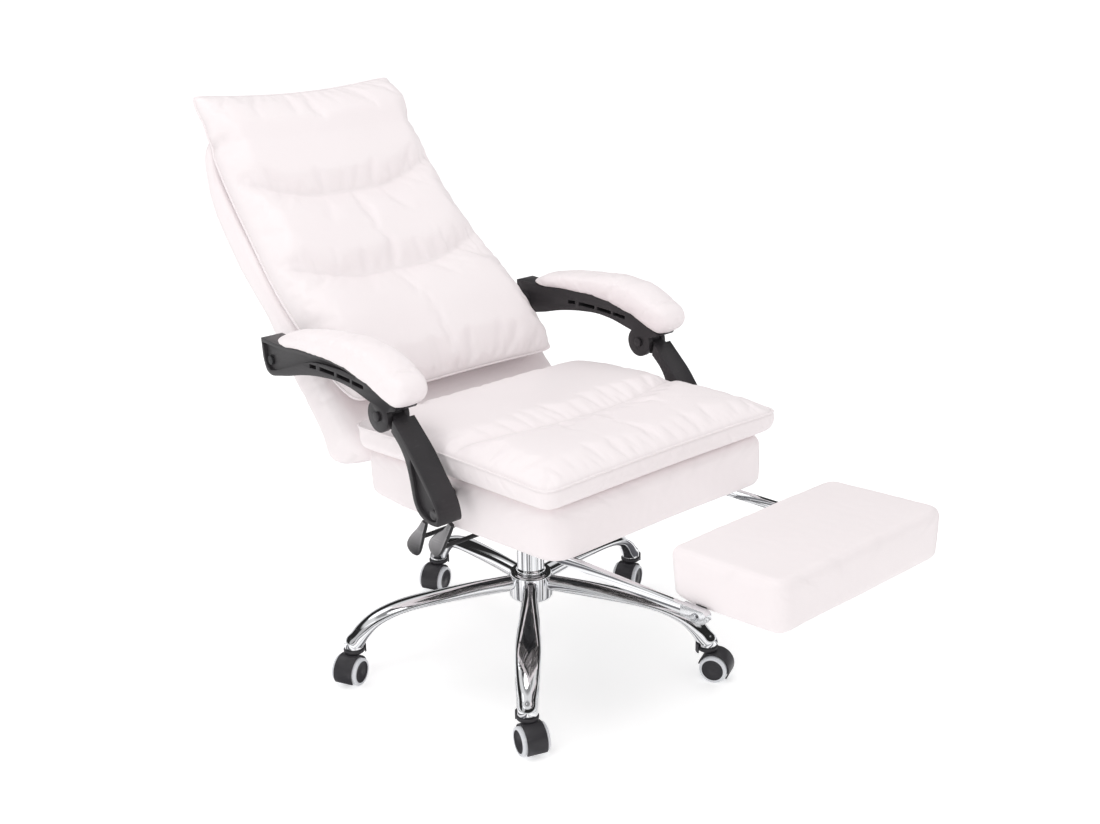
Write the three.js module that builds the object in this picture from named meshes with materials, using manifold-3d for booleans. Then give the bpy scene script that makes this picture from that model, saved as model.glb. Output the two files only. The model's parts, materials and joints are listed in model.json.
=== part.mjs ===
// Reclining office chair with a pull-out footrest, in millimetres.
// +X is the way the sitter faces, +Y is the sitter's left and +Z is up.
// The origin is on the floor under the swivel axis. The chair is shown laid back, footrest out.

import * as THREE from 'three';
import { mergeVertices } from 'three/addons/utils/BufferGeometryUtils.js';
import { ParametricGeometry } from 'three/addons/geometries/ParametricGeometry.js';
import Module from 'manifold-3d';

const wasm = await Module();
wasm.setup();

// Fits shared by every piece
const touchGap = 0.3;
const runningGap = 0.4;
const overrun = 2;
const weldDistance = 0.002;

// Casters
const wheelDiameter = 50;
const treadWidth = 20;
const treadEdge = 2;
const webThickness = 8;
const axleDiameter = 6;
const axleDepth = 14;
const casterTrail = 17;
const fenderGap = 1.5;
const fenderThickness = 2.6;
const fenderWidth = 36;
const hoodHeight = 62;
const tabHeight = 5;
const tabThickness = 2.6;
const stemDiameter = 11;
const stemFlangeDiameter = 22;
const stemFlangeThickness = 1.2;
const stemSocketDepth = 24;
const stemHoodDepth = 12;
const casterHeadings = [25, -66, -66, -66, -19];

// Star base
const legCount = 5;
const firstLegHeading = 29.4;
const stemCircleRadius = 335;
const hubDiameter = 80;
const hubTop = 163;
const hubDepth = 50;
const hubChamfer = 4;
const legRootLevel = 143;
const legRootDepth = 29;
const legWidth = 44;
const legEndDiameter = 35;

// Gas lift
const columnDiameter = 50;
const columnTop = 283;
const columnTaper = 2;
const columnTail = 9;
const columnRimHeight = 5;
const columnRimWidth = 3;
const rodDiameter = 28;
const rodFootClearance = 14;

// Where the arms stand and the back turns, and what the widths and depths leave beside them
const armOffset = 300;
const hingeForward = -190;
const seatToArm = 50;
const shellToArm = 48;
const carrierToArm = 60;
const padOverSide = 20.5;
const padOverFront = 11;
const padInsetRear = 7.5;
const seatToHinge = 34;

// Seat, drawn level and then tipped back about the swivel axis at its own level
const seatTilt = 3.5;
const seatLevel = 358;
const seatFront = 347;
const seatDepth = seatFront - hingeForward - seatToHinge;
const seatWidth = 2 * (armOffset - seatToArm);
const cushionThickness = 80;
const cushionEdge = 24;
const cushionCorner = 42;
const cushionDrawIn = 4;
const seatPadFront = seatFront + padOverFront;
const seatPadDepth = seatDepth + padOverFront - padInsetRear;
const seatPadWidth = seatWidth + 2 * padOverSide;
const seatPadSeamHeight = 128.3;
const seatPadSeamDrop = 11;
const seatPadCrown = 25;
const seatPadDrawIn = 7;
const seatPadSeamDip = 7;
const boardThickness = 12;
const railWidth = 22;
const frameRailHeight = 56;
const frameMargin = 6;

// Seat mechanism and its levers
const mechanismPlateLength = 200;
const mechanismPlateWidth = 170;
const panLength = 160;
const panWidth = 120;
const panDepth = 62;
const sheetThickness = 3;
const socketDiameter = 42;
const leverRodDiameter = 8;
const leverRodDrop = 36;
const rearLeverForward = 28;
const leverSpacing = 57;
const leverPaddleLength = 68;
const leverPaddleWidth = 31;
const leverPaddleThickness = 11;
const leverInset = 26;

// Back hinge and recline lock
const hingeLevel = 420;
const reclineAngle = 45.75;
const reclineShaftDiameter = 10;
const shaftHeadDiameter = 18;
const shaftHeadThickness = 4;
const hingePlateThickness = 5;
const hingePlateSpread = 105;
const hingePlateGap = 2;
const hingeBossRadius = 14;
const hingeStrapWidth = 30;
const lockSide = 78;
const lockCylinderDiameter = 22;
const lockRodDiameter = 10;
const lockPinDiameter = 6;
const lockEyePlay = 1.9;
const lockEyeDiameter = 20;
const lockEyeWidth = 10;
const lockCylinderLength = 130;
const lockFrontForward = 60;
const lockFrontLevel = 324;
const lockLugDrop = 65;
const lockLugBack = 45;
const lockLugRadius = 9;

// Back
const backShellHeight = 720;
const backShellWidth = 2 * (armOffset - shellToArm);
const backShellThickness = 50;
const backShellFoot = -30;
const backShellCorner = 24;
const backPadFoot = 54;
const backPadLength = 707;
const backPadInset = 6;
const backPadDepth = 86;
const backPadTopSag = 20;
const backPadDrawIn = 5;
const backPadChannelDepth = 15;
const backBarWidth = 24;
const backBarTop = 520;
const armCarrierHeight = 199;
const armCarrierForward = 9.6;
const armCarrierDiameter = 20;
const armCarrierLength = 2 * (armOffset - carrierToArm);
const crossBarHeight = 22;
const crossBarWidth = 300;

// Arms
const armWidth = 43.6;
const elbowOutlineAdvance = 1.95;
const elbowForward = 1;
const elbowLevel = 544;
const elbowDiscDiameter = 55;
const elbowTongueDiameter = 50;
const elbowTongueWidth = 22.6;
const armFootForward = 98;
const armFootLevel = 420;
const armFootBossDiameter = 18;
const armFootCapForward = 138;
const armFootCapLevel = 413;
const armRearBossDiameter = 40;
const armBoltDiameter = 8;
const armBoltHeadDiameter = 17;
const armBoltHeadThickness = 4;
const armBoltReach = 22;
const openPivotPlay = 1.2;
const pocketDepth = 6;
const armWindowHeight = 7;
const armPadWidth = 78;
const armPadThickness = 45;

// Footrest
const footrestRailSpread = 394;
const footrestRailTilt = 2;
const footrestRailLevel = 343.8;
const footrestRailHeight = 15;
const footrestRailWidth = 10;
const footrestRailWall = 2;
const footrestRailRear = 165;
const guideFront = 250;
const guideLength = 130;
const guideWall = 3.5;
const endBlockRear = 555;
const endBlockLength = 58;
const endBlockHeight = 29;
const endBlockWall = 2.8;
const endBlockWidth = 13;
const footrestHingeForward = 587.5;
const footrestHingeLevel = 360.5;
const footrestPadTilt = 3.7;
const footrestPadRear = -58;
const footrestPadDepth = 202;
const footrestPadGap = 0.5;
const footrestPadFoot = 13.5;
const footrestPadThickness = 74;
const footrestPadEdge = 15;
const footrestPadCorner = 22;
const footrestPadCrown = 4;
const footrestBoardThickness = 3;
const footrestBoardInset = 22;
const footrestBoardSideInset = 40;
const footrestEarThickness = 4;
const footrestEarRadius = 9;
const footrestBoltDiameter = 8;
const footrestBoltHeadDiameter = 13;
const footrestBoltHeadThickness = 3;

// Sides given to round pieces and cells given to the soft ones
const wheelSides = 16;
const roundSides = 18;
const smallSides = 10;
const legSides = 10;
const arcSteps = 5;
const outlineCells = 24;
const shellCells = 20;
const seatPadCells = [16, 16];
const backPadCells = [16, 26];

// Colours and finishes
const finishes = {
  chrome: { color: 0xd8dade, metalness: 1, roughness: 0.12 },
  steel: { color: 0x8c8f92, metalness: 0.9, roughness: 0.4 },
  blackSteel: { color: 0x232325, metalness: 0.3, roughness: 0.5 },
  blackPlastic: { color: 0x3a393b, metalness: 0, roughness: 0.5 },
  hoodPlastic: { color: 0x39383c, metalness: 0, roughness: 0.55 },
  greyTread: { color: 0xcfd0d6, metalness: 0, roughness: 0.6 },
  whiteLeather: { color: 0xf3eff0, metalness: 0, roughness: 0.5 },
  plywood: { color: 0xc9a877, metalness: 0, roughness: 0.7 },
};

const chair = new THREE.Group();
const radians = THREE.MathUtils.degToRad;

// A geometry reduced to a closed skin of shared corners that faces out
function closed(geometry) {
  const bare = new THREE.BufferGeometry();
  bare.setAttribute('position', geometry.getAttribute('position').clone());
  if (geometry.index) bare.setIndex(geometry.index.clone());
  const merged = mergeVertices(bare, weldDistance);
  const corners = merged.index.array;
  const kept = [];
  for (let i = 0; i < corners.length; i += 3) {
    const [a, b, c] = [corners[i], corners[i + 1], corners[i + 2]];
    if (a !== b && b !== c && c !== a) kept.push(a, b, c);
  }
  merged.setIndex(kept);
  return volume(merged) < 0 ? turnedOut(merged) : merged;
}

function volume(geometry) {
  const place = geometry.getAttribute('position');
  const corner = [0, 1, 2].map(() => new THREE.Vector3());
  let total = 0;
  for (let i = 0; i < geometry.index.count; i += 3) {
    corner.forEach((point, k) => point.fromBufferAttribute(place, geometry.index.getX(i + k)));
    total += corner[0].dot(corner[1].clone().cross(corner[2]));
  }
  return total;
}

function turnedOut(geometry) {
  const corners = Array.from(geometry.index.array);
  for (let i = 0; i < corners.length; i += 3) {
    [corners[i], corners[i + 1]] = [corners[i + 1], corners[i]];
  }
  return geometry.setIndex(corners);
}

// A solid that can be joined and cut
function solid(geometry) {
  const skin = closed(geometry);
  return new wasm.Manifold(new wasm.Mesh({
    numProp: 3,
    vertProperties: new Float32Array(skin.getAttribute('position').array),
    triVerts: new Uint32Array(skin.index.array),
  }));
}

function skinOf(manifold) {
  const mesh = manifold.getMesh();
  const geometry = new THREE.BufferGeometry();
  geometry.setAttribute('position', new THREE.BufferAttribute(mesh.vertProperties, 3));
  geometry.setIndex(Array.from(mesh.triVerts));
  return geometry;
}

function joined(first, ...others) {
  return others.reduce((whole, piece) => whole.add(piece), first);
}

function cut(first, ...others) {
  return others.reduce((whole, piece) => whole.subtract(piece), first);
}

function add(name, shape, finish, parent = chair) {
  const geometry = shape.isBufferGeometry ? closed(shape) : skinOf(shape);
  const flat = geometry.toNonIndexed();
  flat.computeVertexNormals();
  const mesh = new THREE.Mesh(flat, new THREE.MeshStandardMaterial(finishes[finish]));
  mesh.name = name;
  parent.add(mesh);
  return mesh;
}

// A box between two corners
function block(from, to) {
  const size = to.map((value, k) => value - from[k]);
  const middle = to.map((value, k) => (value + from[k]) / 2);
  return new THREE.BoxGeometry(...size).translate(...middle);
}

// A round bar along X, Y or Z, centred on the two other coordinates
function bar(axis, diameter, from, to, centre, sides = roundSides) {
  const rod = new THREE.CylinderGeometry(diameter / 2, diameter / 2, to - from, sides);
  rod.translate(0, (from + to) / 2, 0);
  if (axis === 'x') return rod.rotateZ(-Math.PI / 2).translate(0, ...centre);
  if (axis === 'z') return rod.rotateX(Math.PI / 2).translate(...centre, 0);
  return rod.translate(centre[0], 0, centre[1]);
}

// A profile of radius and height turned about the Z axis
function turned(profile, sides = roundSides) {
  const points = profile.map(([radius, height]) => new THREE.Vector2(radius, height));
  return new THREE.LatheGeometry(points, sides).rotateX(Math.PI / 2);
}

// A side view of X and Z points, given thickness between two Y values
function sideView(points, fromY, toY) {
  const outline = new THREE.Shape(points.map(([x, z]) => new THREE.Vector2(x, z)));
  const slab = new THREE.ExtrudeGeometry(outline, { depth: toY - fromY, bevelEnabled: false });
  return slab.rotateX(Math.PI / 2).translate(0, toY, 0);
}

// A plan view of X and Y points, given thickness between two Z values
function planView(points, fromZ, toZ) {
  const outline = new THREE.Shape(points.map(([x, y]) => new THREE.Vector2(x, y)));
  const slab = new THREE.ExtrudeGeometry(outline, { depth: toZ - fromZ, bevelEnabled: false });
  return slab.translate(0, 0, fromZ);
}

// A skin laid over rings of points that have equal counts, closed by a fan at each end
function lofted(rings) {
  const count = rings[0].length;
  const places = rings.flat();
  const corners = [];
  for (let r = 0; r + 1 < rings.length; r += 1) {
    for (let k = 0; k < count; k += 1) {
      const [a, b] = [r * count + k, r * count + (k + 1) % count];
      corners.push(a, b, a + count, b, b + count, a + count);
    }
  }
  for (const end of [0, rings.length - 1]) {
    const hub = places.length;
    const middle = new THREE.Vector3();
    rings[end].forEach((point) => middle.addScaledVector(point, 1 / count));
    places.push(middle);
    for (let k = 0; k < count; k += 1) {
      const [a, b] = [end * count + k, end * count + (k + 1) % count];
      corners.push(...(end === 0 ? [b, a, hub] : [a, b, hub]));
    }
  }
  const geometry = new THREE.BufferGeometry().setFromPoints(places);
  return geometry.setIndex(corners);
}

// A point on a squarish round outline: power 1 is an ellipse, smaller is squarer
function squircle(turn, halfWidth, halfHeight, power) {
  const [c, s] = [Math.cos(turn), Math.sin(turn)];
  return [
    halfWidth * Math.sign(c) * Math.abs(c) ** power,
    halfHeight * Math.sign(s) * Math.abs(s) ** power,
  ];
}

// A straight-line reading of a table of [place, value] rows
function reading(rows, place, column = 1) {
  if (place <= rows[0][0]) return rows[0][column];
  for (let k = 1; k < rows.length; k += 1) {
    if (place <= rows[k][0]) {
      const share = (place - rows[k - 1][0]) / (rows[k][0] - rows[k - 1][0]);
      return rows[k - 1][column] + share * (rows[k][column] - rows[k - 1][column]);
    }
  }
  return rows[rows.length - 1][column];
}

// How full a stuffed cover is across its width, from 0 at one seam to 1 and back
function fullness(share, power) {
  return Math.max(0, 1 - Math.abs(2 * share - 1) ** power) ** 0.6;
}

// A geometry drawn level, tipped back about the swivel axis and lifted to its level
function tipped(geometry, tilt, level) {
  return geometry.rotateY(-radians(tilt)).translate(0, 0, level);
}

function tippedPoint([x, z], tilt, level) {
  const [c, s] = [Math.cos(radians(tilt)), Math.sin(radians(tilt))];
  return [x * c - z * s, x * s + z * c + level];
}

// The same point seen from the tipped piece
function levelPoint([x, z], tilt, level) {
  const [c, s] = [Math.cos(radians(tilt)), Math.sin(radians(tilt))];
  return [x * c + (z - level) * s, (z - level) * c - x * s];
}

// Heights that follow from the casters
const wheelRadius = wheelDiameter / 2;
const fenderInnerRadius = wheelRadius + fenderGap;
const fenderOuterRadius = fenderInnerRadius + fenderThickness;
const legEndLevel = hoodHeight + stemFlangeThickness + 2 * touchGap;
const tabInnerRadius = legEndDiameter / 2 + fenderGap;
const tabOuterRadius = tabInnerRadius + tabThickness;
const columnFoot = hubTop - hubDepth - columnTail;

// Pressed steel leg: rows of reach, level, width and depth shares
const legShares = [
  [0.1, 1, 0.64, 1],
  [0.313, 0.97, 0.72, 0.97],
  [0.495, 0.93, 0.88, 0.82],
  [0.666, 0.87, 1, 0.7],
  [0.782, 0.77, 1, 0.72],
  [0.873, 0.61, 0.95, 0.82],
  [0.938, 0.39, 0.89, 0.98],
  [0.98, 0.17, 0.82, 1.12],
  [1, 0.07, 0.795, 1.207],
  [1, 0, 0.795, 1.207],
];

function leg(heading) {
  const fall = legRootLevel - legEndLevel;
  const stations = legShares.map(([reach, level]) => (
    new THREE.Vector2(reach * stemCircleRadius, legEndLevel + level * fall)));
  const rings = legShares.map(([, , width, depth], k) => {
    const ahead = stations[Math.min(k + 1, stations.length - 1)];
    const behind = stations[Math.max(k - 1, 0)];
    const last = k >= stations.length - 2;
    const way = last ? new THREE.Vector2(0, -1) : ahead.clone().sub(behind).normalize();
    const ring = [];
    for (let i = 0; i < legSides; i += 1) {
      const turn = (i + 0.5) * 2 * Math.PI / legSides;
      const across = Math.cos(turn) * width * legWidth / 2;
      const up = Math.sin(turn) * depth * legRootDepth / 2;
      const out = stations[k].x - way.y * up;
      const level = stations[k].y + way.x * up;
      ring.push(new THREE.Vector3(
        out * Math.cos(heading) - across * Math.sin(heading),
        out * Math.sin(heading) + across * Math.cos(heading),
        level,
      ));
    }
    return ring;
  });
  return solid(lofted(rings));
}

function legHeading(index) {
  return radians(firstLegHeading + index * 360 / legCount);
}

function stemPlace(index) {
  const heading = legHeading(index);
  return [stemCircleRadius * Math.cos(heading), stemCircleRadius * Math.sin(heading)];
}

function columnProfile(room, top) {
  const radius = columnDiameter / 2 + room;
  return [
    [0, columnFoot - room],
    [radius - columnTaper, columnFoot - room],
    [radius, hubTop + room],
    [radius, top],
    [0, top],
  ];
}

function makeBase() {
  const hubRadius = hubDiameter / 2;
  let star = solid(turned([
    [0, hubTop - hubDepth],
    [hubRadius - hubChamfer, hubTop - hubDepth],
    [hubRadius, hubTop - hubDepth + hubChamfer],
    [hubRadius, hubTop - hubChamfer],
    [hubRadius - hubChamfer, hubTop],
    [0, hubTop],
  ]));
  for (let k = 0; k < legCount; k += 1) star = star.add(leg(legHeading(k)));
  star = star.subtract(solid(turned(columnProfile(touchGap, hubTop + overrun))));
  for (let k = 0; k < legCount; k += 1) {
    const socket = bar('z', stemDiameter + 2 * touchGap, legEndLevel - overrun,
      legEndLevel + stemSocketDepth, stemPlace(k), smallSides);
    star = star.subtract(solid(socket));
  }
  add('star_base', star, 'chrome');
}

function makeGasLift() {
  const bore = bar('z', rodDiameter + 2 * runningGap, columnFoot + rodFootClearance,
    columnTop + overrun, [0, 0]);
  const rim = turned([
    [0, hubTop + touchGap],
    [columnDiameter / 2 + columnRimWidth, hubTop + touchGap],
    [columnDiameter / 2 + columnRimWidth, hubTop + columnRimHeight],
    [columnDiameter / 2, hubTop + columnRimHeight + columnRimWidth],
    [0, hubTop + columnRimHeight + columnRimWidth],
  ]);
  const column = joined(solid(turned(columnProfile(0, columnTop))), solid(rim));
  add('gas_lift_column', cut(column, solid(bore)), 'chrome');
  const rodFoot = columnFoot + rodFootClearance + runningGap;
  const rodTop = gasRodTop();
  add('gas_lift_rod', bar('z', rodDiameter, rodFoot, rodTop, [0, 0]), 'steel');
}

// The hood in its own frame: stem at the origin, axle one trail ahead along X
function hoodShape() {
  const [front, rear] = [radians(-36), radians(172)];
  const fender = new THREE.Shape();
  fender.absarc(0, 0, fenderOuterRadius, front, rear, false);
  fender.absarc(0, 0, fenderInnerRadius, rear, front, true);
  const webPlate = new THREE.Shape();
  webPlate.absarc(0, 0, fenderInnerRadius + fenderThickness / 2, front, rear, false);
  webPlate.absarc(0, 0, axleDiameter, rear, front + 2 * Math.PI, false);
  const across = (shape, width) => (
    new THREE.ExtrudeGeometry(shape, { depth: width, bevelEnabled: false, curveSegments: arcSteps })
      .rotateX(Math.PI / 2).translate(casterTrail, width / 2, wheelRadius));
  const tab = new THREE.Shape();
  tab.absarc(0, 0, tabOuterRadius, radians(125), radians(235), false);
  tab.absarc(0, 0, tabInnerRadius, radians(235), radians(125), true);
  const tabWall = new THREE.ExtrudeGeometry(tab, {
    depth: hoodHeight + tabHeight - wheelDiameter, bevelEnabled: false, curveSegments: 3,
  }).translate(0, 0, wheelDiameter);
  const collar = bar('z', 2 * tabInnerRadius + fenderThickness / 2, wheelRadius + stemDiameter,
    hoodHeight, [0, 0], smallSides);
  const sideRoom = fenderWidth;
  const wheelRoom = (side) => solid(bar('y', 2 * fenderInnerRadius,
    Math.min(side * webThickness / 2, side * (webThickness / 2 + sideRoom)),
    Math.max(side * webThickness / 2, side * (webThickness / 2 + sideRoom)),
    [casterTrail, wheelRadius], wheelSides));
  const axleBore = bar('y', axleDiameter + 2 * runningGap, -webThickness, webThickness,
    [casterTrail, wheelRadius], smallSides);
  const stemBore = bar('z', stemDiameter + 2 * runningGap, hoodHeight - stemHoodDepth,
    hoodHeight + overrun, [0, 0], smallSides);
  const body = joined(solid(collar), solid(tabWall));
  const carved = cut(body, wheelRoom(1), wheelRoom(-1));
  const whole = joined(carved, solid(across(fender, fenderWidth)), solid(across(webPlate, webThickness)));
  return cut(whole, solid(axleBore), solid(stemBore));
}

// A wheel whose inner face stands beside the web; one of the pair carries the axle
function wheelShape(side) {
  const inner = webThickness / 2 + runningGap;
  const outer = inner + treadWidth;
  const axleEnd = side > 0
    ? [[axleDiameter / 2, inner], [axleDiameter / 2, -inner - axleDepth], [0, -inner - axleDepth]]
    : [[axleDiameter / 2 + runningGap, inner],
      [axleDiameter / 2 + runningGap, inner + axleDepth + runningGap],
      [0, inner + axleDepth + runningGap]];
  const profile = [
    [0, outer],
    [wheelRadius - treadEdge, outer],
    [wheelRadius, outer - treadEdge],
    [wheelRadius, inner],
    ...axleEnd,
  ];
  const upright = turned(profile, wheelSides).rotateX(-side * Math.PI / 2);
  return upright.translate(casterTrail, 0, wheelRadius);
}

function makeCasters() {
  const pin = turned([
    [0, hoodHeight - stemHoodDepth + runningGap],
    [stemDiameter / 2, hoodHeight - stemHoodDepth + runningGap],
    [stemDiameter / 2, hoodHeight + touchGap],
    [stemFlangeDiameter / 2, hoodHeight + touchGap],
    [stemFlangeDiameter / 2, hoodHeight + touchGap + stemFlangeThickness],
    [stemDiameter / 2, hoodHeight + touchGap + stemFlangeThickness],
    [stemDiameter / 2, legEndLevel + stemSocketDepth - touchGap],
    [0, legEndLevel + stemSocketDepth - touchGap],
  ], smallSides);
  const hood = hoodShape();
  for (let k = 0; k < legCount; k += 1) {
    const caster = new THREE.Group();
    caster.position.set(...stemPlace(k), 0);
    caster.rotation.z = radians(casterHeadings[k]);
    chair.add(caster);
    add(`caster_stem_${k + 1}`, pin.clone(), 'steel', caster);
    add(`caster_hood_${k + 1}`, hood, 'hoodPlastic', caster);
    add(`caster_wheel_left_${k + 1}`, wheelShape(1), 'greyTread', caster);
    add(`caster_wheel_right_${k + 1}`, wheelShape(-1), 'greyTread', caster);
  }
}

// The seat: plywood frame, boxed cushion over it and a loose stuffed pad on top
const seat = new THREE.Group();
seat.position.z = seatLevel;
seat.rotation.y = -radians(seatTilt);
chair.add(seat);
const seatRear = seatFront - seatDepth;
const frameInset = cushionEdge + frameMargin;
const frameSide = seatWidth / 2 - frameInset;
const frameFront = seatFront - frameInset;
const frameRear = seatRear + frameInset;
const frameTop = boardThickness + frameRailHeight;
const armFootInSeat = levelPoint([armFootForward, armFootLevel], seatTilt, seatLevel);
const armFootHeadDiameter = armBoltHeadDiameter - armBoltHeadThickness;

function seatFrameSolid(room) {
  const board = block(
    [frameRear - room, -frameSide - room, room > 0 ? -overrun : 0],
    [frameFront + room, frameSide + room, boardThickness + room],
  );
  const rail = (side) => {
    const edges = sorted(side, frameSide - railWidth - room, frameSide + room);
    return solid(block([frameRear - room, edges[0], 0], [frameFront + room, edges[1], frameTop + room]));
  };
  return joined(solid(board), rail(1), rail(-1));
}

// Rounded plan outline of a boxed cushion, drawn in along its sides by a share of the turn
function boxedOutline(halfLength, halfWidth, corner, inset, drawIn) {
  const points = [];
  const perCorner = outlineCells / 4;
  for (let quarter = 0; quarter < 4; quarter += 1) {
    for (let k = 0; k < perCorner; k += 1) {
      const cornerCells = perCorner - 3;
      const turn = quarter * Math.PI / 2 + Math.min(k / cornerCells, 1) * Math.PI / 2;
      const signX = [1, -1, -1, 1][quarter];
      const signY = [1, 1, -1, -1][quarter];
      let x = signX * (halfLength - corner) + (corner - inset) * Math.cos(turn);
      let y = signY * (halfWidth - corner) + (corner - inset) * Math.sin(turn);
      if (k > cornerCells) {
        const along = (k - cornerCells) / (perCorner - cornerCells);
        const sway = 1 - 2 * along;
        const pull = drawIn * (1 - sway * sway);
        const [cornerX, cornerY] = [halfLength - corner, halfWidth - corner];
        if (quarter % 2 === 0) {
          x = signX * cornerX * sway;
          y = signY * (halfWidth - inset - pull);
        } else {
          x = signX * (halfLength - inset - pull);
          y = signY * cornerY * sway;
        }
      }
      points.push([x, y]);
    }
  }
  return points;
}

// A boxed cushion: round edges, sides drawn in between the corners, crowned top
function boxedCushion(size) {
  const { middle, halfLength, halfWidth, foot, top, edge, corner, drawIn, crown } = size;
  const height = top - foot;
  const rows = [];
  for (const share of [0, 0.5, 1]) {
    const turn = share * Math.PI / 2;
    rows.push([edge * (1 - Math.sin(turn)), foot + edge * (1 - Math.cos(turn)), share]);
  }
  rows.push([0, foot + height / 2, 1]);
  for (const share of [1, 0.5, 0]) {
    const turn = share * Math.PI / 2;
    rows.push([edge * (1 - Math.sin(turn)), top - crown - edge * (1 - Math.cos(turn)), share]);
  }
  const rings = rows.map(([inset, level, share]) => (
    boxedOutline(halfLength, halfWidth, corner, inset, drawIn * share)
      .map(([x, y]) => new THREE.Vector3(middle + x, y, level))));
  const rim = boxedOutline(halfLength, halfWidth, corner, edge, 0);
  for (const share of [0.8, 0.45]) {
    const level = top - crown * share * share;
    rings.push(rim.map(([x, y]) => new THREE.Vector3(middle + x * share, y * share, level)));
  }
  return lofted(rings);
}

// The loose seat pad: rows of place along it and crown share
const seatPadCrownShares = [
  [0, 0],
  [0.04, 0.22],
  [0.12, 0.42],
  [0.3, 0.7],
  [0.5, 0.95],
  [0.65, 1],
  [0.8, 0.86],
  [0.92, 0.52],
  [0.97, 0.26],
  [1, 0],
];

function seatPadGeometry() {
  const rear = seatPadFront - seatPadDepth;
  const under = cushionThickness + touchGap;
  const surface = (upper) => new ParametricGeometry((u, v, target) => {
    const [across, along] = [2 * v - 1, 2 * u - 1];
    const drawAlong = seatPadDrawIn * (1 - across * across);
    const drawAcross = seatPadDrawIn * (1 - along * along);
    const x = rear + seatPadDepth / 2 + along * (seatPadDepth / 2 - drawAlong);
    const y = across * (seatPadWidth / 2 - drawAcross);
    const seam = seatPadSeamHeight - u * seatPadSeamDrop;
    const full = reading(seatPadCrownShares, u) * fullness(v, 6);
    const seamPlace = 0.62 - 0.1 * across * across;
    const dip = Math.exp(-(((u - seamPlace) / 0.035) ** 2)) * (1 - across ** 6);
    const edge = fullness(u, 14) * fullness(v, 14);
    const crown = full * seatPadCrown - Math.min(full, 1) * seatPadSeamDip * dip;
    target.set(x, y, upper ? seam + crown : seam - (seam - under) * edge);
  }, ...seatPadCells);
  return pillow(surface(true), surface(false));
}

// Two facing surfaces that meet at their rims
function pillow(front, back) {
  const places = [...front.getAttribute('position').array, ...back.getAttribute('position').array];
  const offset = front.getAttribute('position').count;
  const corners = Array.from(front.index.array);
  for (let i = 0; i < back.index.count; i += 3) {
    const [a, b, c] = [0, 1, 2].map((k) => back.index.getX(i + k) + offset);
    corners.push(b, a, c);
  }
  const geometry = new THREE.BufferGeometry();
  geometry.setAttribute('position', new THREE.Float32BufferAttribute(places, 3));
  return geometry.setIndex(corners);
}

function makeSeat() {
  add('seat_frame', seatFrameBored(), 'plywood', seat);
  const cushion = solid(boxedCushion({
    middle: (seatFront + seatRear) / 2,
    halfLength: seatDepth / 2,
    halfWidth: seatWidth / 2,
    foot: 0,
    top: cushionThickness,
    edge: cushionEdge,
    corner: cushionCorner,
    drawIn: cushionDrawIn,
    crown: 0,
  }));
  const headRoom = (side) => solid(bar('y', armFootHeadDiameter + 4 * runningGap,
    ...sorted(side, frameSide - railWidth - armBoltHeadThickness - overrun, seatWidth),
    armFootInSeat, smallSides));
  add('seat_cushion', cut(cushion, seatFrameSolid(touchGap), headRoom(1), headRoom(-1)),
    'whiteLeather', seat);
  add('seat_pad', seatPadGeometry(), 'whiteLeather', seat);
}

function seatFrameBored() {
  const bore = (side) => solid(bar('y', armBoltDiameter + 2 * touchGap,
    ...sorted(side, frameSide - railWidth - overrun, frameSide + overrun), armFootInSeat, smallSides));
  return cut(seatFrameSolid(0), bore(1), bore(-1));
}

// Pressed steel mechanism bolted under the frame, with an upright socket for the gas lift
const plateTop = -touchGap;
const panFoot = plateTop - panDepth;
const leverLevel = seatLevel - leverRodDrop;
const leverRootReach = seatWidth / 2 - leverInset;

function gasRodTop() {
  return seatLevel - 2 * sheetThickness;
}

function makeMechanism() {
  const onSeat = (geometry) => solid(tipped(geometry, seatTilt, seatLevel));
  const [halfPlate, halfPlateWidth] = [mechanismPlateLength / 2, mechanismPlateWidth / 2];
  const [halfPan, halfPanWidth] = [panLength / 2, panWidth / 2];
  const plate = block([-halfPlate, -halfPlateWidth, plateTop - sheetThickness],
    [halfPlate, halfPlateWidth, plateTop]);
  const pan = block([-halfPan, -halfPanWidth, panFoot], [halfPan, halfPanWidth, plateTop]);
  const hollow = block(
    [-halfPan + sheetThickness, -halfPanWidth + sheetThickness, panFoot + sheetThickness],
    [halfPan - sheetThickness, halfPanWidth - sheetThickness, plateTop - sheetThickness],
  );
  const socketFoot = tippedPoint([0, panFoot], seatTilt, seatLevel)[1];
  const socket = bar('z', socketDiameter, socketFoot, seatLevel + overrun, [0, 0]);
  const above = block([-socketDiameter, -socketDiameter, plateTop - sheetThickness / 2],
    [socketDiameter, socketDiameter, socketDiameter]);
  const bore = bar('z', rodDiameter + 2 * touchGap, socketFoot - socketDiameter,
    gasRodTop() + touchGap, [0, 0]);
  const lockPin = bar('y', lockPinDiameter, halfPanWidth - sheetThickness / 2,
    lockSide + lockEyeWidth, [lockFrontForward, lockFrontLevel], smallSides);
  const shell = cut(joined(onSeat(plate), onSeat(pan)), onSeat(hollow));
  let body = joined(shell, cut(solid(socket), onSeat(above)), solid(lockPin));
  body = cut(body, solid(bore));
  for (const forward of leverForwards()) {
    const hole = bar('y', leverRodDiameter + 2 * runningGap, -halfPanWidth - overrun,
      -halfPanWidth + sheetThickness + overrun, [forward, leverLevel], smallSides);
    body = cut(body, solid(hole));
  }
  add('seat_mechanism', body, 'blackSteel');
}

function leverForwards() {
  return [rearLeverForward, rearLeverForward + leverSpacing];
}

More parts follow.
